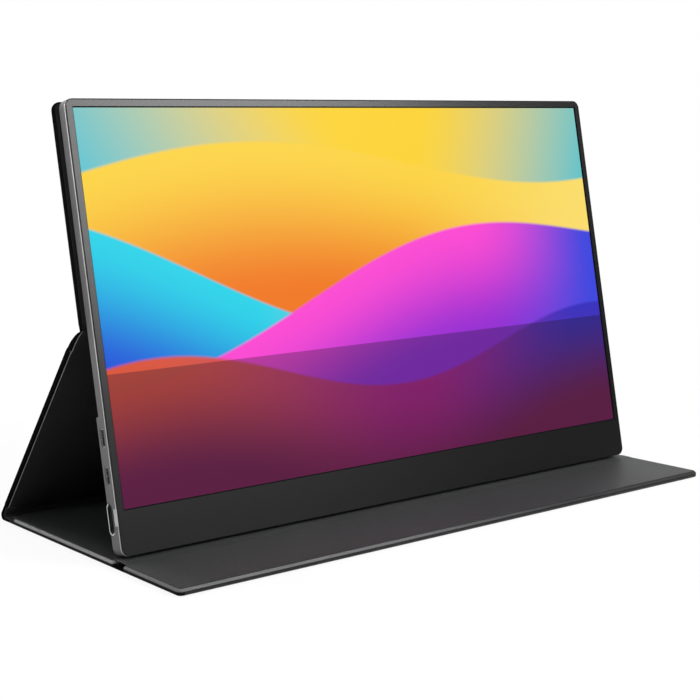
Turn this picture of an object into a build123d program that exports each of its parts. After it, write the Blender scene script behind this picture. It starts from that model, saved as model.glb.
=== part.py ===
"""A 15.6 inch portable monitor standing in its folding cover.

The cover's back panel holds the monitor by magnets. Below it a leg panel slants down to the
table, turns at the rear corner and runs forward as two base panels with a groove between them.
The monitor's foot stands at that groove. Millimetres, +Z up, the screen looks along -Y, and the
origin lies on the table under the middle of the whole object.
"""
import math
import os

from build123d import *

os.makedirs("parts", exist_ok=True)

# Screen and housing outline
screen_w = 344.16
screen_h = 193.59
bezel_side = 3.8
bezel_top = 3.95
chin_h = 21.95
housing_corner_r = 4.5
slim_depth = 6.3
bulge_depth = 10.8
bulge_h = 67.5

# Housing walls and seams
side_wall = 1.3
back_wall = 1.1
bulge_wall = 1.2
shell_back_round = 0.8
foot_round = 3.0
seam_gap = 0.3
seam_bevel = 0.4
bezel_t = 0.6
bezel_inset = 0.2
bezel_bevel = 0.25
skirt_t = 0.6
skirt_depth = 1.6
fit_clear = 0.05
weld = 0.1
rib_t = 0.9
rib_count = 6
rib_pitch = 60.0
rib_end_gap = 4.0

# Display stack, counted from the front
tape_t = 0.1
tape_setback = 0.3
cell_margin = 1.2
cell_foot = 5.0
cell_t = 1.0
cell_ledge = 3.0
film_count = 3
film_t = 0.1
film_gap = 0.02
guide_t = 0.5
reflector_t = 0.1
tray_t = 0.25
tray_rim = 0.3
tray_corner_r = 0.5
tray_window = 50.0
tray_window_pitch_x = 110.0
tray_window_pitch_z = 90.0
led_count = 18
led_w = 3.0
led_h = 0.8
led_t = 0.42
led_gap = 0.15
led_end_gap = 5.0
led_strip_h = 1.6
led_strip_t = 0.12
driver_board_foot = 9.6
driver_board_h = 6.0
driver_board_t = 0.6
driver_board_inset = 15.0
driver_chip_w = 7.0
driver_chip_h = 4.0
driver_chip_t = 0.8
driver_chip_from_flex = 36.0
tab_count = 6
tab_pitch = 55.0
tab_w = 18.0
tab_t = 0.1
tab_grip = 1.4

# Sockets in the left wall and the boards that carry them
usb_depth = 5.35
usb_upper_h = 57.3
usb_lower_h = 39.0
usb_w = 8.94
usb_h = 3.2
usb_len = 7.3
usb_wall = 0.28
usb_setback = 0.5
hdmi_depth = 7.25
hdmi_up = 18.3
hdmi_w = 11.2
hdmi_h = 3.3
hdmi_len = 7.5
hdmi_wall = 0.3
hdmi_setback = 1.5
hdmi_recess_w = 15.4
hdmi_recess_h = 5.0
port_clear = 0.2
port_bevel = 0.35
plug_flat_w = 8.4
plug_flat_h = 4.0
plug_flat_cut = 0.4
plug_flat_front = 0.3
plug_flat_shift = 0.9
hdmi_slant = 1.0
trim_t = 0.5
trim_sink = 0.1
tongue_t = 0.7
tongue_root = 1.2
tongue_setback = 1.0
usb_tongue_w = 6.64
hdmi_tongue_w = 7.8
hdmi_tongue_t = 0.8
board_t = 1.0
board_gap = 0.4
board_cut_gap = 0.3
socket_gap = 0.5
main_board_w = 92.0
main_board_h = 58.0
main_board_foot = 4.5
side_board_w = 20.0

# Parts on the boards, measured from the main board's left end and foot
can_w = 22.0
can_h = 2.4
can_wall = 0.25
can_right = 43.6
can_up = 46.5
can_slots = 5
can_slot_pitch = 3.2
can_slot_w = 12.0
can_slot_h = 1.2
main_chip_w = 14.0
side_chip_w = 9.0
side_chip_h = 7.0
side_chip_right = 26.6
chip_t = 1.1
coil_w = 5.0
coil_t = 2.2
coil_right = 21.6
coil_pitch = 8.0
coil_up = 31.0
wire_jack_w = 20.0
wire_jack_h = 4.0
wire_jack_right = 61.6
wire_jack_up = 23.0
flex_from_speaker = 4.02
flex_w = 16.0
flex_t = 0.3
flex_plug_w = 18.0
flex_plug_h = 3.0
flex_plug_t = 0.8
flex_socket_w = 20.0
flex_socket_h = 3.2
flex_socket_t = 1.0
ribbon_gap = 0.1
side_flex_h = 8.0
side_flex_t = 0.25
side_flex_up = 48.0
side_flex_lap = 2.0

# Right wall: jack, power button and menu rocker
jack_up = 16.0
jack_bore_r = 1.78
jack_nose_r = 2.5
jack_body_w = 6.4
jack_body_h = 5.0
jack_len = 12.0
jack_sink = 0.6
jack_setback = 0.2
power_up = 57.3
power_w = 9.0
rocker_up = 38.0
rocker_w = 16.0
key_h = 3.2
key_depth = 6.2
key_proud = 0.4
key_clear = 0.2
key_flange = 0.8
key_flange_t = 0.8
key_bevel = 0.25
key_notch = 6.1
key_travel = 0.5
rocker_pin_r = 0.6
rocker_pin_clear = 0.15
rocker_pin_back = 1.7
lug_t = 0.7
lug_gap = 0.3
eye_h = 2.6
eye_reach = 1.4
hub_len = 2.4
hub_h = 1.8
hub_shift = 0.3
rocker_root = 0.9
rocker_reach = 5.8
dimple_r = 0.6
dimple_t = 0.15
stem_r = 0.8
stem_clear = 0.2
switch_back = 9.2
switch_len = 3.4
switch_w = 2.6
switch_h = 3.6
switch_knob_r = 0.7

# Speakers, magnets and fasteners
speaker_w = 40.0
speaker_h = 13.0
speaker_t = 5.4
speaker_from_wall = 49.58
speaker_up = 14.0
speaker_gap = 0.2
speaker_bevel = 2.5
speaker_free = 4.0
surround = 2.0
cone_sink = 1.2
cone_t = 0.7
frame_wall = 1.5
frame_clear = 0.2
frame_setback = 3.0
slot_count = 14
slot_w = 1.0
slot_h = 7.0
slot_pitch = 2.2
slot_bevel = 0.3
magnet_w = 20.0
magnet_h = 8.0
magnet_t = 1.2
magnet_inset = 22.0
magnet_count = 5
magnet_pitch = 60.0
screw_count = 4
screw_from_wall = 24.58
screw_up = 5.7
screw_r = 0.65
screw_grip = 1.7
screw_hole_r = 1.0
screw_head_r = 1.7
screw_head_t = 0.8
screw_head_clear = 0.2
head_sink = 0.15
screw_socket_r = 0.8
screw_socket_t = 0.5
head_sides = 24
socket_sides = 6
boss_r = 2.2
boss_gap = 0.1
boss_free = 0.4
boss_meet = 4.5
pilot_r = 0.7
pilot_len = 3.2
board_screw_inset = 5.0
board_corner_free = 12.0
board_screw_low = 26.0
board_screw_reach = 1.2
board_pilot = 1.5
board_head_r = 1.5
board_head_t = 0.6
board_hole_r = 1.1

# Cover
cover_overhang = 3.12
hold_panel_t = 3.0
panel_t = 3.7
skin_t = 0.7
turn_t = 0.5
turn_border = 1.1
glue_line = 0.05
panel_corner_r = 3.0
hold_corner_r = 7.0
panel_bevel = 0.9
hold_panel_foot = 109.0
hold_panel_top_gap = 2.0
crease_strip_len = 14.7
crease_bend = 18.0
crease_sag = 1.0
crease_sag_inside = 0.6
crease_t = 1.3
leg_len = 129.1
leg_end_gap = 5.0
corner_r = 2.6
fold_skin_t = 1.3
fold_slope = 2.6
fold_land = 0.4
fold_inset = 0.5
base_end_gap = 6.5
rear_base_front = 4.8
front_base_back = 5.0
front_overhang = 54.8
groove_skin_t = 0.9
groove_hump = 1.0
joint_gap = 0.15

# Stance
lean = 10.7
foot_clear = 0.15

# Folding: how far each fold turns from the stance, and how far the rocker tilts
leg_close = 49.0
base_open = 130.0
front_lift = 95.0
rocker_swing = 3.0
crease_axis_drop = 1.0
corner_axis_back = 1.7
corner_axis_up = 1.8
groove_axis_front = 3.0
groove_axis_up = 2.5

# Housing outline worked out from the screen
housing_w = screen_w + 2 * bezel_side
housing_h = screen_h + bezel_top + chin_h
half_w = housing_w / 2
inner_half_w = half_w - side_wall
screen_mid = chin_h + screen_h / 2
cover_w = housing_w + 2 * cover_overhang
fold_w = cover_w - 2 * fold_inset

# Depth of each layer behind the bezel's face
wall_front = bezel_t + seam_gap
cell_front = bezel_t + tape_t
films_front = cell_front + cell_t
guide_front = films_front + film_count * (film_t + film_gap)
reflector_front = guide_front + guide_t
tray_front = reflector_front + reflector_t
tray_back = tray_front + tray_t
slim_inner = slim_depth - back_wall
bulge_inner = bulge_depth - bulge_wall
board_front = usb_depth + usb_h / 2
board_back = board_front + board_t

# Screws, speakers, boards and ribbon
screw_pitch = 2 * (inner_half_w - screw_from_wall) / (screw_count - 1)
speaker_x = inner_half_w - speaker_from_wall
board_left = board_gap - inner_half_w
flex_x = speaker_w / 2 - speaker_x + flex_from_speaker + flex_plug_w / 2
driver_mid = driver_board_foot + driver_board_h / 2

# Size of the layers
cell_w = screen_w + 2 * cell_margin
cell_h = screen_h + cell_margin + cell_foot
cell_bottom = chin_h - cell_foot
cell_mid = cell_bottom + cell_h / 2
tray_inner_w = cell_w - 2 * tray_rim
tray_inner_h = cell_h - 2 * tray_rim

# Stance: height of the foot, so that its rounded heel stands just clear of the rear base panel
lean_sin = math.sin(math.radians(lean))
lean_cos = math.cos(math.radians(lean))
heel_depth = bulge_depth - foot_round
heel_drop = foot_round - foot_round * lean_cos + heel_depth * lean_sin
foot_z = panel_t + foot_clear + heel_drop

# Crease where the leg hangs on the hold panel, in the plane of the side view
hold_outer = slim_depth + hold_panel_t
crease_y = hold_panel_foot * lean_sin + hold_outer * lean_cos
crease_z = foot_z + hold_panel_foot * lean_cos - hold_outer * lean_sin

# Leg angle from vertical, so that the chain of strip and leg ends on the rounded rear corner
bend_sin = math.sin(math.radians(crease_bend))
bend_cos = math.cos(math.radians(crease_bend))
chain_along = leg_len + crease_strip_len * bend_cos
chain_across = crease_strip_len * bend_sin - corner_r
chain_reach = math.hypot(chain_along, chain_across)
leg_slope = math.acos((crease_z - corner_r) / chain_reach) - math.atan2(chain_across, chain_along)
leg_sin = math.sin(leg_slope)
leg_cos = math.cos(leg_slope)
strip_slope = leg_slope + math.radians(crease_bend)
leg_top_y = crease_y + crease_strip_len * math.sin(strip_slope)
leg_top_z = crease_z - crease_strip_len * math.cos(strip_slope)
leg_end_y = leg_top_y + leg_len * leg_sin
corner_y = leg_end_y - corner_r * leg_cos
rear_reach = corner_y + corner_r

# Everything is drawn with y = 0 at the foot's front edge and then centred over the table
centre_y = (rear_reach - front_overhang) / 2

# Fold axes in the side view
fold_up = hold_panel_foot - crease_axis_drop
fold_y = fold_up * lean_sin + hold_outer * lean_cos
fold_z = foot_z + fold_up * lean_cos - hold_outer * lean_sin
base_axis_y = corner_y + corner_axis_back
base_axis_z = corner_axis_up
groove_axis_y = -groove_axis_front
groove_axis_z = groove_axis_up

# Base panels
rear_base_len = corner_y - base_end_gap - rear_base_front
front_base_len = front_overhang - front_base_back
hold_panel_len = housing_h - hold_panel_top_gap - hold_panel_foot
leg_panel_len = leg_len - leg_end_gap - joint_gap
leg_start_y = leg_end_y - leg_end_gap * leg_sin
leg_start_z = corner_r * (1 + leg_sin) + leg_end_gap * leg_cos

HOUSING = Location((0, -centre_y, foot_z), (-lean, 0, 0))
TABLE = Location((0, -centre_y, 0))


def block(width, depth, height, x=0.0, y=0.0, z=0.0):
    """A box whose middle in x, nearest face in y and lowest face in z are given."""
    return Pos(x, y + depth / 2, z + height / 2) * Box(width, depth, height)


def plate(width, height, corner, depth, y=0.0, x=0.0, z_mid=0.0):
    """A plate with rounded corners that stands upright, its front face at depth y."""
    face = RectangleRounded(width, height, corner)
    return extrude(Plane((x, y, z_mid), x_dir=(1, 0, 0), z_dir=(0, -1, 0)) * face, -depth)


def capsule(length, height, thick, x, y, z):
    """A capsule-shaped plate in a side wall: length runs up the wall, thick runs along x."""
    face = SlotOverall(length, height, rotation=90)
    return extrude(Plane((x, y, z), x_dir=(0, 1, 0), z_dir=(1, 0, 0)) * face, thick)


def barrel(radius, length, x, y, z):
    """A round bar along the depth of the housing, its front end at depth y."""
    return extrude(Plane((x, y, z), x_dir=(1, 0, 0), z_dir=(0, 1, 0)) * Circle(radius), length)


def side_barrel(radius, length, x, y, z):
    """A round bar along x that starts at x."""
    return extrude(Plane((x, y, z), x_dir=(0, 1, 0), z_dir=(1, 0, 0)) * Circle(radius), length)


def upright(width, height, thick, y, z_mid, x=0.0):
    """A sharp-cornered plate that stands upright, its front face at depth y."""
    return Pos(x, y + thick / 2, z_mid) * Box(width, thick, height)


def spread(count, pitch):
    """Places evenly spaced about zero."""
    return [pitch * (i - (count - 1) / 2) for i in range(count)]


def pin(radius, length, x, y, z, sides=12):
    """A small bar along the depth, drawn with flat sides to keep the facets few."""
    face = RegularPolygon(radius, sides)
    return extrude(Plane((x, y, z), x_dir=(1, 0, 0), z_dir=(0, 1, 0)) * face, length)


def side_pin(radius, length, x, y, z, sides=12):
    """The same across the width, starting at x."""
    face = RegularPolygon(radius, sides)
    return extrude(Plane((x, y, z), x_dir=(0, 1, 0), z_dir=(1, 0, 0)) * face, length)


def sound_slots(x_mid):
    """The upright sound slots of one speaker, cut through the bulge's back wall."""
    face = chamfer(Rectangle(slot_w, slot_h).vertices(), slot_bevel)
    deep = 3 * bulge_wall
    start = bulge_inner - bulge_wall
    return [extrude(Plane((x_mid + x, start, speaker_up), x_dir=(1, 0, 0), z_dir=(0, 1, 0)) * face,
                    deep) for x in spread(slot_count, slot_pitch)]


def speaker_frame(sign):
    """The low wall inside the shell that holds one speaker."""
    x_mid = sign * speaker_x
    outer_w = speaker_w + 2 * frame_wall
    outer_h = speaker_h + 2 * frame_wall
    room_w = speaker_w + 2 * frame_clear
    room_h = speaker_h + 2 * frame_clear
    front = tray_back + frame_setback
    wall = upright(outer_w, outer_h, bulge_inner - front, front, speaker_up, x_mid)
    return wall - upright(room_w, room_h, bulge_inner, 0, speaker_up, x_mid)


def shell_inserts():
    """The ribs, bosses and speaker frames moulded inside the shell."""
    rib_h = housing_h - bulge_h - 2 * side_wall - 2 * rib_end_gap
    start = boss_meet + boss_gap
    inserts = [block(rib_t, slim_inner - tray_back, rib_h, x, tray_back, bulge_h + rib_end_gap)
               for x in spread(rib_count, rib_pitch)]
    inserts += [pin(boss_r, bulge_inner - start, x, start, screw_up) for x in screw_places()]
    inserts += [pin(boss_r, bulge_inner - board_back, x, board_back, up)
                for x, up in board_screw_places()]
    return inserts + [speaker_frame(-1), speaker_frame(1)]


def side_openings():
    """The holes in the two side walls for sockets, keys and the jack."""
    usb_cut = (usb_w + 2 * port_clear, usb_h + 2 * port_clear, usb_depth)
    key_cut_h = key_h + 2 * key_clear
    return [port_cut(-1, *usb_cut, usb_upper_h),
            port_cut(-1, *usb_cut, usb_lower_h),
            port_cut(-1, hdmi_recess_w, hdmi_recess_h, hdmi_depth, hdmi_up),
            port_cut(1, power_w + 2 * key_clear, key_cut_h, key_depth, power_up),
            port_cut(1, rocker_w + 2 * key_clear, key_cut_h, key_depth, rocker_up),
            side_barrel(jack_nose_r + port_clear, 3 * side_wall, half_w - 1.5 * side_wall,
                        jack_depth(), jack_up),
            plug_flat()]


def screw_openings():
    """The holes for the case screws and the pilot holes for the board screws."""
    head_room = screw_head_t + head_sink + fit_clear
    cuts = [pin(screw_hole_r, bulge_depth, x, 0, screw_up) for x in screw_places()]
    cuts += [pin(screw_head_r + screw_head_clear, head_room, x, bulge_depth - head_room, screw_up,
                 head_sides) for x in screw_places()]
    return cuts + [pin(pilot_r, board_pilot, x, board_back, up) for x, up in board_screw_places()]


def board_chip(width, height, thick, right, up):
    """One part on the main board's front: how far right of the board's left end, and how high."""
    return upright(width, height, thick, board_front - thick, main_board_foot + up, board_left + right)


def panel_magnet_places():
    """The hold panel's magnets, opposite those of the housing, measured from its near end."""
    return [(x, up - hold_panel_foot) for x, up in magnet_places()]


def arc_point(angle, radius):
    """A point of the rear corner's turn, at an angle from level, in the side view."""
    return (corner_y + radius * math.cos(angle), corner_r + radius * math.sin(angle))


def save(node, shape, place):
    """Write one node, as one solid or a group of solids, where it stands in the whole object."""
    placed = [place * solid for solid in shape.solids()]
    group = placed[0] if len(placed) == 1 else Compound(children=placed)
    export_step(group, os.path.join("parts", node + ".step"))


def shell_outer():
    """The closed outer form of the rear shell: a slim slab with a deeper chamber below."""
    slab = plate(housing_w, housing_h, housing_corner_r, slim_depth - wall_front, wall_front,
                 z_mid=housing_h / 2)
    chamber = plate(housing_w, housing_h, housing_corner_r, bulge_depth - wall_front, wall_front,
                    z_mid=housing_h / 2)
    chamber &= block(housing_w, bulge_depth, bulge_h)
    body = slab + chamber
    heel = body.edges().filter_by(Axis.X).filter_by_position(Axis.Y, bulge_depth - 0.01,
                                                            bulge_depth + 0.01).sort_by(Axis.Z)[0]
    body = fillet(heel, foot_round)
    brow = body.edges().filter_by(Axis.X).filter_by_position(Axis.Y, bulge_depth - 0.01,
                                                            bulge_depth + 0.01).sort_by(Axis.Z)[-1]
    body = fillet(brow, shell_back_round)
    rim = body.faces().filter_by_position(Axis.Y, wall_front - 0.01, wall_front + 0.01)[0]
    return chamfer(rim.outer_wire().edges(), seam_bevel)


def shell_hollow():
    """The room inside the rear shell."""
    inner_w = housing_w - 2 * side_wall
    inner_h = housing_h - 2 * side_wall
    inner_corner = housing_corner_r - side_wall
    slim = plate(inner_w, inner_h, inner_corner, slim_inner, z_mid=housing_h / 2)
    deep = plate(inner_w, inner_h, inner_corner, bulge_inner, z_mid=housing_h / 2)
    deep &= block(inner_w, bulge_inner, bulge_h - side_wall)
    heel = deep.edges().filter_by(Axis.X).filter_by_position(Axis.Y, bulge_inner - 0.01,
                                                            bulge_inner + 0.01).sort_by(Axis.Z)[0]
    return slim + fillet(heel, foot_round - side_wall)


def screw_places():
    """The x of each case screw along the foot of the housing."""
    return spread(screw_count, screw_pitch)


def board_screw_places():
    """Where the main board and the side board are screwed down."""
    left = -inner_half_w + board_screw_inset + board_corner_free
    right = -inner_half_w + main_board_w - board_screw_inset
    side = inner_half_w - side_board_w + board_screw_inset
    low = main_board_foot + board_screw_low
    high = main_board_foot + main_board_h - board_screw_inset
    return [(left, high), (right, low), (right, high), (side, low), (side, high)]


def magnet_places():
    """Where the magnets that hold the cover sit, as x and height."""
    low = hold_panel_foot + magnet_inset
    high = hold_panel_foot + hold_panel_len - magnet_inset
    return [(x, up) for up in (low, high) for x in spread(magnet_count, magnet_pitch)]


def wall_slot(length, height, x, y, z):
    """A capsule outline drawn in the side view at x."""
    return Plane((x, y, z), x_dir=(0, 1, 0), z_dir=(1, 0, 0)) * SlotOverall(length, height, rotation=90)


def port_cut(side, length, height, depth, up):
    """A capsule hole through the left (-1) or right (1) wall, its mouth bevelled outside."""
    flare = 4 * port_bevel
    hole = capsule(length, height, 3 * side_wall, side * half_w - 1.5 * side_wall, depth, up)
    mouth = loft([wall_slot(length, height, side * (half_w - port_bevel), depth, up),
                  wall_slot(length + flare, height + flare, side * (half_w + port_bevel), depth, up)])
    return hole + mouth


def rear_shell():
    """The moulded rear shell with its ribs, bosses, port holes, key holes and sound slots."""
    body = shell_outer() - shell_hollow()
    for insert in shell_inserts():
        body += insert
    for cut in side_openings() + sound_slots(-speaker_x) + sound_slots(speaker_x) + screw_openings():
        body -= cut
    return body + rocker_lugs()


def jack_depth():
    """Depth of the headphone jack's axis, so that its body stands through the side board."""
    return board_front - jack_sink


def plug_flat():
    """The shallow flat in the left wall that lets a wide plug go right home."""
    return block(2 * plug_flat_cut, plug_flat_h, plug_flat_w, -half_w, plug_flat_front,
                 hdmi_up + plug_flat_shift - plug_flat_w / 2)


def lug_offset():
    """How far each eye of the rocker's pin stands from the rocker's middle, along its depth."""
    return key_h / 2 + lug_gap + lug_t / 2


def rocker_lugs():
    """Two eyes on the inside of the right wall that carry the rocker's pin."""
    reach = rocker_pin_back + eye_reach
    eyes = []
    for sign in (-1, 1):
        near = key_depth + sign * lug_offset() - lug_t / 2
        eye = block(reach, lug_t, eye_h, inner_half_w - reach / 2 + weld, near,
                    rocker_up - eye_h / 2)
        hole = barrel(rocker_pin_r + rocker_pin_clear, 2 * lug_t, rocker_pin_x(),
                      near - lug_t / 2, rocker_up)
        eyes.append(eye - hole)
    return eyes[0] + eyes[1]


def rocker_pin_x():
    """The rocker turns about a pin just inside the wall."""
    return inner_half_w - rocker_pin_back


def front_bezel():
    """The bezel: a thin frame with a chin, a skirt behind it and bosses for the case screws."""
    face = plate(housing_w - 2 * bezel_inset, housing_h - 2 * bezel_inset,
                 housing_corner_r - bezel_inset, bezel_t, z_mid=housing_h / 2)
    front = face.faces().sort_by(Axis.Y)[0]
    body = chamfer(front.outer_wire().edges(), bezel_bevel)
    skirt_w = housing_w - 2 * side_wall - 2 * fit_clear
    skirt_h = housing_h - 2 * side_wall - 2 * fit_clear
    skirt_corner = housing_corner_r - side_wall - fit_clear
    skirt = plate(skirt_w, skirt_h, skirt_corner, skirt_depth, bezel_t, z_mid=housing_h / 2)
    body += skirt - plate(skirt_w - 2 * skirt_t, skirt_h - 2 * skirt_t, skirt_corner - skirt_t,
                          skirt_depth, bezel_t, z_mid=housing_h / 2)
    body -= upright(screen_w, screen_h, bezel_t, 0, screen_mid)
    for x in screw_places():
        body += pin(boss_r, boss_meet - bezel_t, x, bezel_t, screw_up)
        body -= pin(pilot_r, pilot_len, x, boss_meet - pilot_len, screw_up)
    return body - plug_flat()


def bezel_tape():
    """The adhesive frame that bonds the bezel to the display cell."""
    window = upright(screen_w + 2 * tape_setback, screen_h + 2 * tape_setback, tape_t, bezel_t,
                     screen_mid)
    return upright(cell_w, cell_h, tape_t, bezel_t, cell_mid) - window


def lcd_cell():
    """The display cell: a glass sandwich, stepped at the foot where the drivers are bonded."""
    half = cell_t / 2
    rear = upright(cell_w, cell_h, half, cell_front + half, cell_mid)
    return rear + upright(cell_w, cell_h - cell_ledge, half, cell_front, cell_mid + cell_ledge / 2)


def optical_films():
    """Diffuser and prism films in a stack."""
    pitch = film_t + film_gap
    return Compound(children=[upright(tray_inner_w, tray_inner_h, film_t,
                                      films_front + film_gap + i * pitch, cell_mid)
                              for i in range(film_count)])


def light_guide():
    """The light guide, short at the foot to leave room for the light bar."""
    return upright(tray_inner_w, tray_inner_h - led_strip_h, guide_t - film_gap,
                   guide_front + film_gap, cell_mid + led_strip_h / 2)


def reflector_sheet():
    """The white sheet behind the light guide."""
    return upright(tray_inner_w, tray_inner_h, reflector_t, reflector_front, cell_mid)


def led_bar():
    """A row of side-firing lamps on a narrow strip under the light guide."""
    foot = cell_mid - tray_inner_h / 2
    lamp_foot = foot + led_strip_h - led_h - led_gap
    strip_front = guide_front + film_gap + led_t - led_strip_t
    bar = block(tray_inner_w - 2 * led_end_gap, led_strip_t, lamp_foot - foot, 0, strip_front,
                foot + led_gap)
    for x in spread(led_count, (tray_inner_w - 4 * led_end_gap) / (led_count - 1)):
        bar += block(led_w, led_t, led_h, x, guide_front + film_gap, lamp_foot)
    return bar


def panel_tray():
    """The folded sheet tray behind the layers, with a rim on all four sides."""
    outer = plate(cell_w, cell_h, tray_corner_r, tray_back - films_front, films_front, z_mid=cell_mid)
    room = upright(tray_inner_w + 2 * film_gap, tray_inner_h + 2 * film_gap,
                   tray_front - films_front, films_front, cell_mid)
    tray = outer - room
    for x in spread(3, tray_window_pitch_x):
        for up in spread(2, tray_window_pitch_z):
            tray -= upright(tray_window, tray_window, 2 * tray_t, tray_front, cell_mid + up, x)
    return tray


def panel_driver_board():
    """The narrow board in the chin that drives the display cell."""
    back = films_front + driver_board_t
    board = block(cell_w - 2 * driver_board_inset, driver_board_t, driver_board_h, 0, films_front,
                  driver_board_foot)
    socket = upright(flex_socket_w, flex_socket_h, flex_socket_t, back, driver_mid, flex_x)
    chip = upright(driver_chip_w, driver_chip_h, driver_chip_t, back, driver_mid,
                   flex_x + driver_chip_from_flex)
    return board + socket + chip


def driver_tabs():
    """The flex tabs bonded to the ledge of the rear glass and folded on to the driver board."""
    ledge = cell_front + cell_t / 2
    tabs = []
    for x in spread(tab_count, tab_pitch):
        drop = block(tab_w, tab_t, cell_bottom + tab_grip - driver_mid, x, ledge - tab_t, driver_mid)
        tabs.append(drop + block(tab_w, films_front - ledge, tab_t, x, ledge, driver_mid))
    return Compound(children=tabs)


def main_board():
    """The main board behind the chin, cut out round the display socket and the bosses."""
    board = block(main_board_w, board_t, main_board_h, board_left + main_board_w / 2, board_front,
                  main_board_foot)
    notch = hdmi_len + 2 * socket_gap
    board -= upright(2 * notch, hdmi_w + 2 * board_cut_gap, 3 * board_t, board_front - board_t,
                     hdmi_up, board_left)
    board -= upright(speaker_w + 2 * speaker_free, speaker_h + 2 * speaker_free, 3 * board_t,
                     board_front - board_t, speaker_up - speaker_free / 2, -speaker_x)
    for x, up in board_screw_places()[:3]:
        board -= pin(board_hole_r, 3 * board_t, x, board_front - board_t, up)
    for x in screw_places():
        board -= pin(boss_r + boss_free, 3 * board_t, x, board_front - board_t, screw_up)
    return board


def board_chips():
    """The larger chips and coils on the main board."""
    return Compound(children=[board_chip(main_chip_w, main_chip_w, chip_t, can_right, can_up),
                              board_chip(side_chip_w, side_chip_h, chip_t, side_chip_right, can_up),
                              board_chip(coil_w, coil_w, coil_t, coil_right, coil_up),
                              board_chip(coil_w, coil_w, coil_t, coil_right + coil_pitch, coil_up),
                              board_chip(wire_jack_w, wire_jack_h, chip_t, wire_jack_right,
                                         wire_jack_up)])


def shield_can():
    """The punched screening can over the main chip."""
    x_mid = board_left + can_right
    z_mid = main_board_foot + can_up
    can = upright(can_w, can_w, can_h, board_front - can_h, z_mid, x_mid)
    can -= upright(can_w - 2 * can_wall, can_w - 2 * can_wall, can_h, board_front - can_h + can_wall,
                   z_mid, x_mid)
    for up in spread(can_slots, can_slot_pitch):
        can -= upright(can_slot_w, can_slot_h, 2 * can_wall, board_front - can_h - can_wall,
                       z_mid + up, x_mid)
    return can


def usb_shell(up):
    """One reversible socket: a drawn metal capsule, closed at the back, with mounting legs."""
    mouth = -half_w + usb_setback
    outer = capsule(usb_w, usb_h, usb_len, mouth, usb_depth, up)
    bore = capsule(usb_w - 2 * usb_wall, usb_h - 2 * usb_wall, usb_len - usb_wall, mouth,
                   usb_depth, up)
    return outer - bore


def usb_tongue(up):
    """The contact tongue inside one reversible socket."""
    mouth = -half_w + usb_setback
    root_x = mouth + usb_len - usb_wall - tongue_root
    root = capsule(usb_w - 2 * usb_wall - 2 * fit_clear, usb_h - 2 * usb_wall - 2 * fit_clear,
                   tongue_root, root_x, usb_depth, up)
    length = root_x - mouth - tongue_setback + weld
    tongue = block(length, tongue_t, usb_tongue_w, root_x + weld - length / 2,
                   usb_depth - tongue_t / 2, up - usb_tongue_w / 2)
    return root + tongue


def hdmi_outline(width, height):
    """The small display socket's outline, narrowed on its rear side by two slanted corners."""
    half_wide = width / 2
    half_high = height / 2
    step = hdmi_slant
    corners = [(-half_wide, -half_high), (-half_wide, half_high - step),
               (-half_wide + step, half_high), (half_wide - step, half_high),
               (half_wide, half_high - step), (half_wide, -half_high)]
    return make_face(Polyline(*corners, close=True))


def hdmi_body(width, height, length, x):
    """A bar of the display socket's outline along x, in the left wall."""
    plane = Plane((x, hdmi_depth, hdmi_up), x_dir=(0, 0, 1), z_dir=(1, 0, 0))
    return extrude(plane * hdmi_outline(width, height), length)


def mini_hdmi_socket():
    """The metal shell of the small display socket."""
    mouth = -half_w + hdmi_setback
    bore = hdmi_body(hdmi_w - 2 * hdmi_wall, hdmi_h - 2 * hdmi_wall, hdmi_len - hdmi_wall, mouth)
    return hdmi_body(hdmi_w, hdmi_h, hdmi_len, mouth) - bore


def socket_tongues():
    """The moulded contact tongues of the three sockets in the left wall."""
    start = -half_w + hdmi_setback + tongue_setback
    length = hdmi_len - hdmi_wall - tongue_setback
    tongue = block(length, hdmi_tongue_t, hdmi_tongue_w, start + length / 2,
                   hdmi_depth - hdmi_tongue_t / 2, hdmi_up - hdmi_tongue_w / 2)
    return Compound(children=[usb_tongue(usb_upper_h), usb_tongue(usb_lower_h), tongue])


def socket_bezel():
    """The bright capsule trim that lines the display socket's recess."""
    outer = capsule(hdmi_recess_w - 2 * fit_clear, hdmi_recess_h - 2 * fit_clear,
                    side_wall - trim_sink, -half_w + trim_sink, hdmi_depth, hdmi_up)
    return outer - capsule(hdmi_recess_w - 2 * trim_t, hdmi_recess_h - 2 * trim_t, 3 * side_wall,
                           -half_w - side_wall, hdmi_depth, hdmi_up)


def side_board():
    """The small board inside the right wall, notched for the jack, the rocker and the button."""
    right = inner_half_w - board_gap
    board = block(side_board_w, board_t, main_board_h, right - side_board_w / 2, board_front,
                  main_board_foot)
    notches = [(jack_len + socket_gap, jack_body_w, jack_up),
               (key_notch, rocker_w + 2 * key_flange, rocker_up),
               (key_notch, power_w + 2 * key_flange, power_up)]
    for reach, height, up in notches:
        board -= upright(2 * reach, height + 2 * board_cut_gap, 3 * board_t, board_front - board_t,
                         up, right)
    for x, up in board_screw_places()[3:]:
        board -= pin(board_hole_r, 3 * board_t, x, board_front - board_t, up)
    return board


def audio_jack():
    """The 3.5 mm jack: a block with a round nose and a through bore."""
    right = inner_half_w - board_gap
    body = upright(jack_len, jack_body_w, jack_body_h, jack_depth() - jack_body_h / 2, jack_up,
                   right - jack_len / 2)
    nose = side_barrel(jack_nose_r, half_w - jack_setback - right, right, jack_depth(), jack_up)
    return body + nose - side_barrel(jack_bore_r, 2 * jack_len, right - 1.5 * jack_len,
                                     jack_depth(), jack_up)


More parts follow.
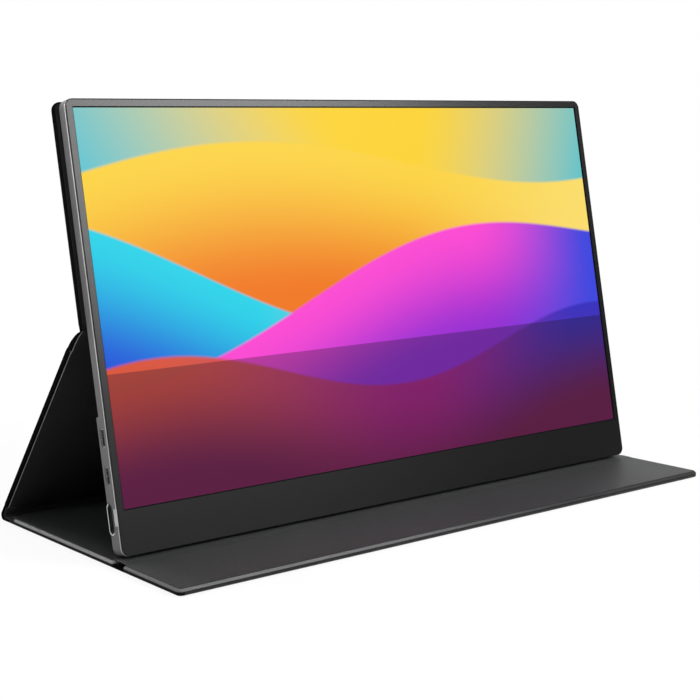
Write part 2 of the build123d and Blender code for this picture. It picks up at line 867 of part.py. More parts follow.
def key_switches():
    """Three side-acting switches behind the power button and the two ends of the rocker."""
    back = inner_half_w - switch_back
    switches = []
    for up in (power_up, rocker_up - rocker_reach, rocker_up + rocker_reach):
        body = block(switch_w, switch_w, switch_h, back + switch_w / 2, board_front - switch_w,
                     up - switch_h / 2)
        knob = side_pin(switch_knob_r, switch_len - switch_w, back + switch_w, key_depth, up)
        switches.append(body + knob)
    return Compound(children=switches)


def key_stem(up):
    """The stem of a key, which stops just short of its switch when the key is pressed."""
    tip = inner_half_w - switch_back + switch_len + key_travel + stem_clear
    return side_pin(stem_r, inner_half_w - key_flange_t - tip, tip, key_depth, up)


def key_cap(length, root, up):
    """The capsule cap of a key, from root inside the wall to its proud face."""
    cap = capsule(length, key_h, side_wall + key_proud + root, inner_half_w - root, key_depth, up)
    return chamfer(cap.faces().sort_by(Axis.X)[-1].edges(), key_bevel)


def power_button():
    """The power button: a capsule cap with a retaining flange and a stem."""
    flange = capsule(power_w + 2 * key_flange, key_h + 2 * key_flange, key_flange_t,
                     inner_half_w - key_flange_t - key_clear, key_depth, power_up)
    return key_cap(power_w, key_clear + weld, power_up) + flange + key_stem(power_up)


def menu_rocker():
    """The menu rocker: a long capsule key that turns about a pin across its middle."""
    rocker = key_cap(rocker_w, rocker_root, rocker_up)
    rocker -= side_barrel(dimple_r, 2 * dimple_t, half_w + key_proud - dimple_t, key_depth, rocker_up)
    hub_t = 2 * (lug_offset() - lug_t / 2 - key_clear)
    pin_len = 2 * lug_offset() + lug_t
    rocker += upright(hub_len, hub_h, hub_t, key_depth - hub_t / 2, rocker_up,
                      rocker_pin_x() + hub_shift)
    rocker += barrel(rocker_pin_r, pin_len, rocker_pin_x(), key_depth - pin_len / 2, rocker_up)
    for sign in (-1, 1):
        rocker += key_stem(rocker_up + sign * rocker_reach)
    return rocker


def display_flex():
    """The ribbon from the main board to the display's driver board."""
    front = films_front + driver_board_t + flex_socket_t + ribbon_gap
    plug_front = board_front - flex_plug_t
    ribbon = upright(flex_w, flex_t, plug_front - front, front, driver_mid, flex_x)
    return ribbon + upright(flex_plug_w, flex_plug_h, flex_plug_t, plug_front, driver_mid, flex_x)


def side_flex():
    """The long ribbon from the main board to the side board, laid behind both."""
    start = board_left + main_board_w - side_flex_lap
    end = inner_half_w - board_gap - side_board_w + side_flex_lap
    return upright(end - start, side_flex_h, side_flex_t, board_back, side_flex_up,
                   (start + end) / 2)


def speaker(sign):
    """One flat speaker: a frame, a raised surround and a domed cone behind the sound slots."""
    x_mid = sign * speaker_x
    back = bulge_inner - speaker_gap
    body = upright(speaker_w, speaker_h, speaker_t, back - speaker_t, speaker_up, x_mid)
    body = chamfer(body.edges().filter_by(Axis.Y), speaker_bevel)
    well = upright(speaker_w - 2 * surround, speaker_h - 2 * surround, cone_sink, back - cone_sink,
                   speaker_up, x_mid)
    cone = upright(speaker_w - 4 * surround, speaker_h - 4 * surround, cone_t,
                   back - cone_sink - weld, speaker_up, x_mid)
    return body - well + cone


def holding_magnets():
    """The magnets inside the slim part of the shell, glued to its back wall."""
    return Compound(children=[upright(magnet_w, magnet_h, magnet_t, slim_inner - magnet_t, up, x)
                              for x, up in magnet_places()])


def case_screws():
    """The four screws that close the housing from behind."""
    seat = bulge_depth - screw_head_t - head_sink
    tip = boss_meet - screw_grip
    screws = []
    for x in screw_places():
        head = pin(screw_head_r, screw_head_t, x, seat, screw_up, head_sides)
        socket = pin(screw_socket_r, screw_socket_t, x, seat + screw_head_t - screw_socket_t, screw_up,
                     socket_sides)
        screws.append(head + pin(screw_r, seat - tip, x, tip, screw_up) - socket)
    return Compound(children=screws)


def board_screws():
    """The screws that hold the two boards on their bosses."""
    screws = []
    for x, up in board_screw_places():
        head = pin(board_head_r, board_head_t, x, board_front - board_head_t, up)
        shank = pin(screw_r, board_t + board_screw_reach, x, board_front, up)
        screws.append(head + shank)
    return Compound(children=screws)


def panel_ends(free_end, thin_end, border, slack=0.0):
    """How far something stops short of a panel's near and far ends: by border at the free end,
    behind the slope at the thinned end and by the covering's thickness at a plain one."""
    gaps = []
    for end in (-1, 1):
        gap = skin_t
        if end == free_end:
            gap = border
        if end == thin_end:
            gap = fold_slope + fold_land
        gaps.append(gap + slack)
    return gaps


def panel_outline(length, corner, free_end, inset, near, far):
    """A panel's outline, drawn in at its sides and ends, with its free end's corners rounded.

    The free end is -1 for the near one, 1 for the far one and 0 for neither.
    """
    run = length - near - far
    outline = Rectangle(cover_w - 2 * inset, run)
    tips = outline.vertices().sort_by(Axis.Y)
    if free_end < 0:
        outline = fillet(tips[:2], corner - inset)
    if free_end > 0:
        outline = fillet(tips[2:], corner - inset)
    return Pos(0, near + run / 2) * outline


def panel_slab(length, thick, corner, free_end, thin_end):
    """A panel's full form: bevelled edges, square at the folds and sloped at its thinned end."""
    near = 0 if free_end < 0 else -panel_bevel
    far = 0 if free_end > 0 else -panel_bevel
    slab = extrude(panel_outline(length, corner, free_end, 0, near, far), thick)
    slab = chamfer(slab.faces().filter_by(Axis.Z).edges(), panel_bevel)
    near_top = [(fold_slope, thick), (0, fold_skin_t)] if thin_end < 0 else [(0, thick)]
    far_top = [(length, fold_skin_t), (length - fold_slope, thick)] if thin_end > 0 else [(length, thick)]
    side_view = Polyline((0, 0), (length, 0), *far_top, *near_top, close=True)
    return slab & side_view_bar(side_view.edges(), 2 * cover_w)


def panel_skin(length, thick, corner, free_end, thin_end):
    """The wrapped covering of one panel, outer face down, open over the lining."""
    room = thick - skin_t - turn_t
    cavity = panel_outline(length, corner, free_end, skin_t, *panel_ends(free_end, thin_end, skin_t))
    window = panel_outline(length, corner, free_end, turn_border,
                           *panel_ends(free_end, thin_end, turn_border))
    skin = panel_slab(length, thick, corner, free_end, thin_end)
    skin -= Pos(0, 0, skin_t) * extrude(cavity, room)
    return skin - Pos(0, 0, thick - turn_t) * extrude(window, 2 * turn_t)


def panel_board(length, thick, corner, free_end, thin_end, pockets=()):
    """The stiff board inside one panel, with a pocket for each magnet."""
    side = skin_t + glue_line
    outline = panel_outline(length, corner, free_end, side,
                            *panel_ends(free_end, thin_end, skin_t, glue_line))
    board = Pos(0, 0, side) * extrude(outline, thick - turn_t - glue_line - side)
    pocket_floor = thick - turn_t - magnet_t - 2 * glue_line
    for x, y in pockets:
        board -= Pos(x, y, pocket_floor + thick / 2) * Box(
            magnet_w + 2 * glue_line, magnet_h + 2 * glue_line, thick)
    return board


def panel_lining(length, thick, corner, free_end, thin_end):
    """The lining sheet that lies inside the turned edge, level with it."""
    outline = panel_outline(length, corner, free_end, turn_border + glue_line,
                            *panel_ends(free_end, thin_end, turn_border, glue_line))
    return Pos(0, 0, thick - turn_t + glue_line) * extrude(outline, turn_t - glue_line)


def hold_panel_magnets():
    """The magnets let into the hold panel's board."""
    middle = hold_panel_t - turn_t - glue_line - magnet_t / 2
    return Compound(children=[Pos(x, y, middle) * Box(magnet_w, magnet_h, magnet_t)
                              for x, y in panel_magnet_places()])


def crease_profile():
    """Side view of the strip that hangs the leg on the hold panel, thinner at the crease."""
    gap = joint_gap
    top = (crease_y - gap * lean_sin, crease_z - gap * lean_cos)
    end = (leg_top_y, leg_top_z)
    top_in = (top[0] - crease_t * lean_cos, top[1] + crease_t * lean_sin)
    end_in = (end[0] - panel_t * leg_cos, end[1] - panel_t * leg_sin)
    out_mid = bowed_middle(top, end, crease_sag)
    in_mid = bowed_middle(top_in, end_in, crease_sag_inside)
    return [ThreePointArc(top, out_mid, end), Line(end, end_in),
            ThreePointArc(end_in, in_mid, top_in), Line(top_in, top)]


def bowed_middle(start, end, rise):
    """The middle of a line in the side view, moved outward, away from the housing, by rise."""
    run_y = end[0] - start[0]
    run_z = end[1] - start[1]
    size = math.hypot(run_y, run_z)
    return ((start[0] + end[0]) / 2 - rise * run_z / size, (start[1] + end[1]) / 2 + rise * run_y / size)


def side_view_bar(edges, width):
    """A bar across the full width whose side view, in y and z, is the closed outline given."""
    face = make_face(Curve() + edges)
    plane = Plane((-width / 2, 0, 0), x_dir=(0, 1, 0), z_dir=(1, 0, 0))
    return extrude(plane * face, width)


def crease_strip():
    """The flexible strip between the hold panel and the leg."""
    return side_view_bar(crease_profile(), fold_w)


def corner_strip():
    """The flexible strip that turns round the rear corner from the leg to the rear base panel."""
    inner_r = corner_r - fold_skin_t
    end = (leg_start_y, leg_start_z)
    end_in = (leg_start_y - fold_skin_t * leg_cos, leg_start_z - fold_skin_t * leg_sin)
    middle = (leg_slope - math.pi / 2) / 2
    base_y = corner_y - base_end_gap + joint_gap
    edges = [Line(end, arc_point(leg_slope, corner_r)),
             ThreePointArc(arc_point(leg_slope, corner_r), arc_point(middle, corner_r), (corner_y, 0)),
             Line((corner_y, 0), (base_y, 0)),
             Line((base_y, 0), (base_y, fold_skin_t)),
             Line((base_y, fold_skin_t), (corner_y, fold_skin_t)),
             ThreePointArc((corner_y, fold_skin_t), arc_point(middle, inner_r),
                           arc_point(leg_slope, inner_r)),
             Line(arc_point(leg_slope, inner_r), end_in),
             Line(end_in, end)]
    return side_view_bar(edges, fold_w)


def groove_strip():
    """The groove between the base panels: a flat skin below and a lining that humps up above."""
    back = rear_base_front - joint_gap
    front = joint_gap - front_base_back
    middle = (back + front) / 2
    under = side_view_bar([Line((front, 0), (back, 0)), Line((back, 0), (back, groove_skin_t)),
                           Line((back, groove_skin_t), (front, groove_skin_t)),
                           Line((front, groove_skin_t), (front, 0))], fold_w)
    top = panel_t
    low = panel_t - groove_skin_t
    over = side_view_bar([ThreePointArc((front, top), (middle, top + groove_hump), (back, top)),
                          Line((back, top), (back, low)),
                          ThreePointArc((back, low), (middle, low + groove_hump), (front, low)),
                          Line((front, low), (front, top))], fold_w)
    return Compound(children=[under, over])


def flat_place(y, z, inward_y=0.0, inward_z=1.0):
    """Where a flat-drawn panel goes: its near end at y, z and its lining facing inward."""
    return TABLE * Plane((0, y, z), x_dir=(1, 0, 0), z_dir=(0, inward_y, inward_z)).location


def build_housing():
    """Write every node of the monitor itself."""
    nodes = {"rear_shell": rear_shell(), "front_bezel": front_bezel(), "bezel_tape": bezel_tape(),
             "lcd_cell": lcd_cell(), "optical_films": optical_films(),
             "light_guide": light_guide(), "reflector_sheet": reflector_sheet(),
             "led_bar": led_bar(), "panel_tray": panel_tray(),
             "panel_driver_board": panel_driver_board(), "driver_tabs": driver_tabs(),
             "main_board": main_board(), "board_chips": board_chips(), "shield_can": shield_can(),
             "usb_c_socket_upper": usb_shell(usb_upper_h),
             "usb_c_socket_lower": usb_shell(usb_lower_h), "mini_hdmi_socket": mini_hdmi_socket(),
             "socket_tongues": socket_tongues(), "socket_bezel": socket_bezel(),
             "side_board": side_board(), "audio_jack": audio_jack(),
             "key_switches": key_switches(), "power_button": power_button(),
             "menu_rocker": menu_rocker(), "display_flex": display_flex(),
             "side_flex": side_flex(), "speaker_left": speaker(-1), "speaker_right": speaker(1),
             "holding_magnets": holding_magnets(), "case_screws": case_screws(),
             "board_screws": board_screws()}
    for node, shape in nodes.items():
        save(node, shape, HOUSING)


def build_panel(name, length, thick, corner, free_end, thin_end, place, pockets=()):
    """Write the covering, the board and the lining of one panel."""
    form = (length, thick, corner, free_end, thin_end)
    save(name + "_skin", panel_skin(*form), place)
    save(name + "_board", panel_board(*form, pockets), place)
    save(name + "_lining", panel_lining(*form), place)


def build_cover():
    """Write every node of the folding cover."""
    hold = flat_place(crease_y, crease_z, -lean_cos, lean_sin)
    leg = flat_place(leg_start_y, leg_start_z, -leg_cos, -leg_sin)
    rear = flat_place(rear_base_front, 0)
    front = flat_place(-front_overhang, 0)
    build_panel("hold_panel", hold_panel_len, hold_panel_t, hold_corner_r, 1, -1, hold,
                panel_magnet_places())
    build_panel("leg", leg_panel_len, panel_t, panel_corner_r, 0, -1, leg)
    build_panel("rear_base", rear_base_len, panel_t, panel_corner_r, 0, 1, rear)
    build_panel("front_base", front_base_len, panel_t, panel_corner_r, -1, 0, front)
    save("hold_panel_magnets", hold_panel_magnets(), hold)
    save("crease_strip", crease_strip(), TABLE)
    save("corner_strip", corner_strip(), TABLE)
    save("groove_strip", groove_strip(), TABLE)


build_housing()
build_cover()
print("leg slope from vertical", round(math.degrees(leg_slope), 2))
print("overall depth", round(rear_reach + front_overhang, 2), "foot height", round(foot_z, 2))
print("leg axis", round(fold_y - centre_y, 3), round(fold_z, 3), "turns", leg_close)
print("base axis", round(base_axis_y - centre_y, 3), round(base_axis_z, 3), "turns", base_open)
print("front axis", round(groove_axis_y - centre_y, 3), round(groove_axis_z, 3), "turns", front_lift)
print("rocker tilts", rocker_swing, "each way and the power key travels", key_travel)
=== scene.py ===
# %% [markdown]
# # A portable monitor in its folding cover
# The housing, the screen and everything inside come from the CAD model, which is the fixed
# frame of this scene. Blender adds what CAD leaves plain: the light, the camera, the finish of
# every surface, and the leather cover, whose rounded edges and soft folds are meshes made here.
# The frame is loaded first, so that every later step can measure itself against it.

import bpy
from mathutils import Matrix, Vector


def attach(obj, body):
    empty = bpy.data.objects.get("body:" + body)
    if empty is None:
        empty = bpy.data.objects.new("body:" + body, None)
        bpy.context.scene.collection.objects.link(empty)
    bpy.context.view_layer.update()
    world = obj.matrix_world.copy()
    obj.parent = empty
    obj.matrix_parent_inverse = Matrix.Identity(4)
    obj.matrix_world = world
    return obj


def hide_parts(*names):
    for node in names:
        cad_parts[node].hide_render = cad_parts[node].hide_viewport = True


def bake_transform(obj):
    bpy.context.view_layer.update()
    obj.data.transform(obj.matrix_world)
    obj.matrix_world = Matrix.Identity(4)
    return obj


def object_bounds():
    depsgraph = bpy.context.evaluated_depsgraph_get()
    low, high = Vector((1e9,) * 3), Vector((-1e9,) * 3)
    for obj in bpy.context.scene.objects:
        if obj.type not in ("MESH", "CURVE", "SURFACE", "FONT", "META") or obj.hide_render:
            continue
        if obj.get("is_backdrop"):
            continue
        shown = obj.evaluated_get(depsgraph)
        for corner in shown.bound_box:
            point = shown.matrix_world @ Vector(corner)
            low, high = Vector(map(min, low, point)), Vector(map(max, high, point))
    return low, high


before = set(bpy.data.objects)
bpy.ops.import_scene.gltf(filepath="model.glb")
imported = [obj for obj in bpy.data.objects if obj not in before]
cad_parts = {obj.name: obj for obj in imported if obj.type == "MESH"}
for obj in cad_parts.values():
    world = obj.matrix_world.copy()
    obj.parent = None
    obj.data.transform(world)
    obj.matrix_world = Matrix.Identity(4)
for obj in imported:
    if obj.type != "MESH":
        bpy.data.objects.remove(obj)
cad_low, cad_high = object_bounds()
cad_size = [round(1000 * (high - low), 1) for low, high in zip(cad_low, cad_high)]
print("nodes", len(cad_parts), "size in mm", cad_size)

# %% [markdown]
# ## Lengths and colours
# A maker gives lengths in millimetres, and Blender counts in metres, so all lengths are written
# in millimetres and scaled once. Colours are the same story: a shader counts light, and a
# screen's numbers from 0 to 255 are bent to suit the eye. They could be converted beforehand
# and typed in, but one small function keeps the readable numbers in the file.

# %% Lengths and colours
import math

import bpy
from mathutils import Matrix, Vector

MM = 0.001


def paint(red, green, blue):
    """A screen colour from 0 to 255 as the linear colour that the shaders count in."""
    parts = [value / 255 for value in (red, green, blue)]
    return tuple(p / 12.92 if p <= 0.04045 else ((p + 0.055) / 1.055) ** 2.4 for p in parts) + (1.0,)


def dimmed(colour, factor):
    """The same colour, darker or lighter, and never past white."""
    return tuple(min(1.0, part * factor) for part in colour[:3]) + (1.0,)


print("mid grey", [round(part, 3) for part in paint(128, 128, 128)])

# %% [markdown]
# ## Where everything stands
# The monitor leans back in its cover like a picture on an easel. Three lengths close the
# triangle: the back of the housing, the leg and the base. The leg's slope could be typed in,
# but it is worked out from the lengths, as the CAD model does, so that the leather made here
# lies where the CAD's panels lie.

# %% Measure the stance
LEAN = math.radians(10.7)
SCREEN_W, SCREEN_H = 344.16, 193.59
SIDE_FRAME, TOP_FRAME, CHIN = 3.8, 3.95, 21.95
HALF_W = SCREEN_W / 2 + SIDE_FRAME
HOUSING_H = SCREEN_H + TOP_FRAME + CHIN
SLIM_T, HEEL_R, HEEL_DEPTH, FOOT_GAP = 6.3, 3.0, 7.8, 0.15
HOLD_T, PANEL_T, FOLD_T = 3.0, 3.7, 1.3
HOLD_FOOT, LEG_LEN, CREASE_LEN, CORNER_R = 109.0, 129.1, 14.7, 2.6
CREASE_BEND = math.radians(18)
FRONT_REACH = 54.8
lean_sin, lean_cos = math.sin(LEAN), math.cos(LEAN)
foot_z = PANEL_T + FOOT_GAP + HEEL_R * (1 - lean_cos) + HEEL_DEPTH * lean_sin
hold_depth = SLIM_T + HOLD_T
crease_y = HOLD_FOOT * lean_sin + hold_depth * lean_cos
crease_z = foot_z + HOLD_FOOT * lean_cos - hold_depth * lean_sin
along = LEG_LEN + CREASE_LEN * math.cos(CREASE_BEND)
across = CREASE_LEN * math.sin(CREASE_BEND) - CORNER_R
slope = math.acos((crease_z - CORNER_R) / math.hypot(along, across)) - math.atan2(across, along)
leg_sin, leg_cos = math.sin(slope), math.cos(slope)
leg_top = (crease_y + CREASE_LEN * math.sin(slope + CREASE_BEND),
           crease_z - CREASE_LEN * math.cos(slope + CREASE_BEND))
corner_y = leg_top[0] + LEG_LEN * leg_sin - CORNER_R * leg_cos
centre_y = (corner_y + CORNER_R - FRONT_REACH) / 2
print("leg slope", round(math.degrees(slope), 2), "depth", round(corner_y + CORNER_R + FRONT_REACH, 2))


# %% [markdown]
# ## Shader maths as plain Python
# A node graph is arithmetic drawn as boxes. It could be drawn by hand in the shader editor, or
# built line by line with one line for each box. Here one small class wraps a socket, so that
# `1 - mask` or `grain * 0.3` adds the Math node by itself, and every other node comes from one
# method that takes its type, its settings and its sockets' values. Formulas stay readable.

# %% A socket that understands operators
class Wire:
    """An output socket of a node tree, or the bare tree where a graph begins or ends."""

    def __init__(self, tree, socket=None):
        self.tree = tree
        self.socket = socket

    def make(self, kind, settings=None, values=None, out=0):
        """Add one node: its settings first, then each socket's number, colour or link."""
        node = self.tree.nodes.new(kind)
        for name, value in (settings or {}).items():
            setattr(node, name, value)
        for name, value in (values or {}).items():
            if isinstance(value, Wire):
                self.tree.links.new(value.socket, node.inputs[name])
            else:
                node.inputs[name].default_value = value
        return Wire(self.tree, node.outputs[out] if node.outputs else None)

    def maths(self, operation, first, second=0.0):
        """One Math node, for numbers only, since it would turn a colour grey."""
        return self.make("ShaderNodeMath", {"operation": operation}, {0: first, 1: second})

    def __add__(self, other):
        return self.maths("ADD", self, other)

    def __sub__(self, other):
        return self.maths("SUBTRACT", self, other)

    def __rsub__(self, other):
        return self.maths("SUBTRACT", other, self)

    def __mul__(self, other):
        return self.maths("MULTIPLY", self, other)

    def __truediv__(self, other):
        return self.maths("DIVIDE", self, other)

    def __rtruediv__(self, other):
        return self.maths("DIVIDE", other, self)

    def __mod__(self, other):
        return self.maths("FLOORED_MODULO", self, other)

    def __gt__(self, other):
        return self.maths("GREATER_THAN", self, other)

    def __lt__(self, other):
        return self.maths("LESS_THAN", self, other)

    def __abs__(self):
        return self.maths("ABSOLUTE", self)

    __radd__ = __add__
    __rmul__ = __mul__

    def lowest(self, other):
        """The smaller of the two numbers."""
        return self.maths("MINIMUM", self, other)

    def highest(self, other):
        """The larger of the two numbers."""
        return self.maths("MAXIMUM", self, other)

    def wave(self):
        """A sine wave along this number."""
        return self.maths("SINE", self)

    def rise(self, low, high):
        """0 below low, 1 above high and a soft step between them."""
        return self.make("ShaderNodeMapRange", {"interpolation_type": "SMOOTHSTEP"},
                         {"Value": self, "From Min": low, "From Max": high})

    def between(self, low, high):
        """1 between two lengths in millimetres and 0 outside them."""
        return (self > low * MM) * (self < high * MM)

    def blend(self, first, second):
        """A colour that goes from first to second as this value goes from 0 to 1."""
        return self.make("ShaderNodeMix", {"data_type": "RGBA"}, {0: self, 6: first, 7: second}, out=2)

    def part(self, axis):
        """One of a vector's three numbers."""
        return self.make("ShaderNodeSeparateXYZ", None, {0: self}, out="XYZ".index(axis))

    def vector(self, operation, other):
        """This vector with another one added, taken away or multiplied in."""
        return self.make("ShaderNodeVectorMath", {"operation": operation}, {0: self, 1: other})

    def noise(self, size, detail=3.0, rough=0.55):
        """Soft clouds about size millimetres across, from 0 to 1."""
        return self.make("ShaderNodeTexNoise", None,
                         {"Vector": self, "Scale": 1 / (size * MM), "Detail": detail, "Roughness": rough})

    def cells(self, size, feature="F1", loose=1.0):
        """Distance in a field of cells about size millimetres across."""
        return self.make("ShaderNodeTexVoronoi", {"feature": feature},
                         {"Vector": self, "Scale": 1 / (size * MM), "Randomness": loose})


print("a socket's own methods", [name for name in vars(Wire) if not name.startswith("__")])

# %% [markdown]
# ## Starting a finish
# Each finish is one Principled shader, which covers plastic, metal, glass and leather alike.
# Several simpler shaders could be mixed instead, but other programs understand this one best.
# Metal and specular level are plain numbers on its own sockets. Only colour, roughness, metal,
# glow and the bump vary from place to place, because those are what an export can bake.

# %% Start and wire a finish
finishes = {}


def start_finish(name, metal=0.0, specular=0.5):
    """A new finish; returns its shader and the place of each surface point, in metres."""
    material = bpy.data.materials.new(name)
    material.use_nodes = True
    shader = material.node_tree.nodes["Principled BSDF"]
    shader.inputs["Metallic"].default_value = metal
    shader.inputs["Specular IOR Level"].default_value = specular
    finishes[name] = material
    return shader, Wire(material.node_tree).make("ShaderNodeTexCoord", out="Object")


def lay_on(shader, colour, rough, bump, height, metal=None):
    """Link the varying parts of a finish; height is the bump's full depth in millimetres."""
    relief = bump.make("ShaderNodeBump", None, {"Strength": 1.0, "Distance": height * MM, "Height": bump})
    layers = {"Base Color": colour, "Roughness": rough, "Metallic": metal, "Normal": relief}
    for socket, wire in layers.items():
        if wire is not None:
            shader.id_data.links.new(wire.socket, shader.inputs[socket])


print("finishes so far", len(finishes))

# %% [markdown]
# ## Upright coordinates for a leaning housing
# The moulded grain, the picture and the rows of contacts run square to the housing, which
# leans back 10.7 degrees. Each pattern could be tilted by itself. Turning the coordinates
# upright once is simpler: it gives every finish x along the width, y into the depth and z up
# the height, counted from the housing's foot.

# %% Turn the coordinates upright
FOOT_POINT = (0.0, -centre_y * MM, foot_z * MM)


def upright(place):
    """The place of a surface point, square to the leaning housing and counted from its foot."""
    turned = place.make("ShaderNodeVectorRotate", {"rotation_type": "X_AXIS"},
                        {"Vector": place, "Center": FOOT_POINT, "Angle": LEAN})
    return turned.vector("SUBTRACT", FOOT_POINT)


print("the housing's foot in metres", [round(value, 4) for value in FOOT_POINT])

# %% [markdown]
# ## Where the housing's finish changes
# The shell's front edge is bevelled, and a bright highlight is painted on it, with painted shade
# along the top instead, where it turns away from the lamp. The dark frame has a matt border, which
# shows as a fine black line beside that edge. Beside the display socket the wall is milled a little
# lower, so that a wide plug can pass. Each of these could be an object of its own. They are masks
# from the upright coordinates instead, because on the real housing they are one moulding too.

# %% Masks on the housing
FLAT_DEPTHS, FLAT_HEIGHTS, FLAT_CUT = (0.4, 4.2), (15.0, 23.4), 0.4


def plug_flat(own):
    """Where the wall is milled flat beside the display socket."""
    across = 1 - abs(own.part("X") + (HALF_W - FLAT_CUT) * MM).rise(0.06 * MM, 0.12 * MM)
    return across * own.part("Y").between(*FLAT_DEPTHS) * own.part("Z").between(*FLAT_HEIGHTS) * 0.85


def bevel(own):
    """The bevelled front edge of the grey shell, just behind the dark frame."""
    depth = own.part("Y")
    return depth.rise(0.87 * MM, 0.9 * MM) * (1 - depth.rise(1.2 * MM, 1.25 * MM))


def shaded_top_bevel(own):
    """The same edge along the top, where shade is painted."""
    return bevel(own) * (own.part("Z") > (HOUSING_H - 1.6) * MM)


def frame_edge(own):
    """The dark frame's matt outer border."""
    across = abs(own.part("X")).rise((HALF_W - 0.7) * MM, (HALF_W - 0.6) * MM)
    top = own.part("Z").rise((HOUSING_H - 0.8) * MM, (HOUSING_H - 0.7) * MM)
    return own.part("Y").rise(0.04 * MM, 0.06 * MM).highest(across).highest(top)


print("milled flat in mm", FLAT_DEPTHS, FLAT_HEIGHTS)

# %% [markdown]
# ## Moulded plastic
# The rear shell is spark-textured plastic: a matt grey with a grain finer than a fingertip can
# feel. The frame, the keys and the small black parts are the same stuff with another colour and
# gloss. A flat colour would look like cardboard and a photographed grain would need a picture
# file, so one recipe mixes two noises: large clouds and a fine speck, which is also the bump.

# %% Moulded finishes
def moulded(name, colour, rough, light=1.15, specular=0.4, grain=0.35, height=0.02, patches=()):
    """A patch is a mask, its colour and how much smoother than the rest it is."""
    shader, place = start_finish(name, specular=specular)
    own = upright(place)
    cloud = own.noise(28, detail=2)
    speck = own.noise(grain, detail=4, rough=0.7)
    mottle = (cloud * 0.45 + speck * 0.55).rise(0.3, 0.7)
    tone = mottle.blend(dimmed(colour, 1 / light), dimmed(colour, light))
    gloss = (speck - 0.5) * 0.12 + rough
    for mask_of, shade, polish in patches:
        mask = mask_of(own)
        tone = (mask * (0.8 + speck * 0.2)).blend(tone, shade)
        gloss = gloss - mask * polish
    lay_on(shader, tone, gloss, speck, height)


# The bevel gets a painted highlight, and along the top it gets painted shade instead.
shell_patches = [(bevel, paint(188, 188, 187), 0.2), (shaded_top_bevel, paint(34, 34, 34), 0.0),
                 (plug_flat, paint(184, 184, 185), 0.0)]
moulded("housing", paint(90, 89, 90), 0.5, light=1.1, specular=0.12, patches=shell_patches)
moulded("bezel", paint(13, 13, 14), 0.27, light=1.05, specular=0.19, grain=0.3, height=0.006,
        patches=[(frame_edge, paint(3, 3, 3), -0.55)])
moulded("key", paint(84, 84, 86), 0.38, light=1.08)
moulded("jack", paint(22, 22, 23), 0.4)
moulded("speaker", paint(26, 26, 27), 0.5, grain=0.5)
moulded("socket_tongue", paint(92, 92, 94), 0.42, grain=0.2)
moulded("dark_shell", paint(10, 10, 10), 0.5, specular=0.1, grain=0.2)
moulded("tape", paint(14, 14, 14), 0.65, grain=0.2)
moulded("chip", paint(30, 30, 32), 0.55, grain=0.25)
print("moulded finishes", sorted(finishes))


# %% [markdown]
# ## The picture on the screen
# A lit screen is a lamp with a pattern. The pattern here is a plain wallpaper of soft
# overlapping bands. It could be a picture file, but a script that reads none runs anywhere, so
# each band is a sine wave: its mask lies below a wavy line, and its colour changes with the
# depth under that line. u runs from 0 to 1 across the picture and v from 0 to 1 up it.

# %% Draw the wallpaper
def band(level, height, rise, swing, turns, phase):
    """A mask below a wavy line, and how deep a point lies under it."""
    line = (u * turns + phase).wave() * swing + u * rise + level
    depth = line - v
    return depth.rise(-0.006, 0.006), (depth / height).rise(0.0, 1.0)


shader, place = start_finish("screen", specular=0.03)
own = upright(place)
u = own.part("X") / (SCREEN_W * MM) + 0.5
v = (own.part("Z") - CHIN * MM) / (SCREEN_H * MM)
sky = (u + v * 0.3).rise(0.12, 0.75).blend(paint(0, 196, 222), paint(255, 214, 40))
sky = (u - v * 0.2).rise(0.42, 0.95).blend(sky, paint(40, 196, 214))
mask, deep = band(0.80, 0.42, 0.06, 0.09, 4.6, 0.4)
warm = deep.blend(paint(255, 214, 60), paint(244, 120, 8))
warm = (u - v * 0.3).rise(0.35, 0.85).blend(warm, paint(255, 226, 110))
picture = mask.blend(sky, warm)
mask, deep = band(0.60, 0.36, -0.22, 0.12, 5.4, 2.2)
pale = deep.blend(paint(30, 214, 236), paint(28, 84, 220))
picture = (mask * (1 - u.rise(0.25, 0.75))).blend(picture, pale)
mask, deep = band(0.38, 0.34, 0.24, 0.10, 5.2, 4.4)
pink = deep.blend(paint(255, 70, 214), paint(150, 40, 214))
pink = u.rise(0.7, 1.0).blend(pink, paint(60, 70, 226))
picture = mask.blend(picture, pink)
mask, deep = band(0.28, 0.3, 0.02, 0.08, 7.0, 1.0)
low = u.rise(0.05, 0.55).blend(paint(226, 84, 10), paint(176, 20, 132))
low = u.rise(0.55, 0.95).blend(low, paint(54, 44, 190))
picture = (mask * 0.95).blend(picture, deep.blend(low, paint(120, 20, 60)))
print("wallpaper mixed from", len(shader.id_data.nodes), "nodes")

# %% [markdown]
# ## Control strip, black line and glass
# A translucent strip lies over the picture's foot, as a player's controls do. Round the picture
# the glass stays black for a fraction of a millimetre, where the cell has no dots. The whole
# picture goes into the emission colour, while the glass itself stays near black with a satin
# front, so that the screen also looks right when light falls on it.

# %% Light the screen
STRIP_TOP, BLACK_LINE, GLASS_DEPTH = 0.335, 0.6, 0.9
picture = ((v < STRIP_TOP) * 0.5).blend(picture, paint(22, 14, 40))
in_width = 0.5 - abs(u - 0.5) > BLACK_LINE / SCREEN_W
in_height = 0.5 - abs(v - 0.5) > BLACK_LINE / SCREEN_H
inside = in_width * in_height * (own.part("Y") < GLASS_DEPTH * MM)
lit = inside.blend((0.0, 0.0, 0.0, 1.0), picture)
shader.id_data.links.new(lit.socket, shader.inputs["Emission Color"])
shader.inputs["Emission Strength"].default_value = 0.95
haze = own.noise(0.25, detail=2)
lay_on(shader, haze.blend(paint(9, 9, 11), paint(14, 14, 16)), haze * 0.08 + 0.3, haze, 0.003)
print("screen lit at", round(shader.inputs["Emission Strength"].default_value, 2))


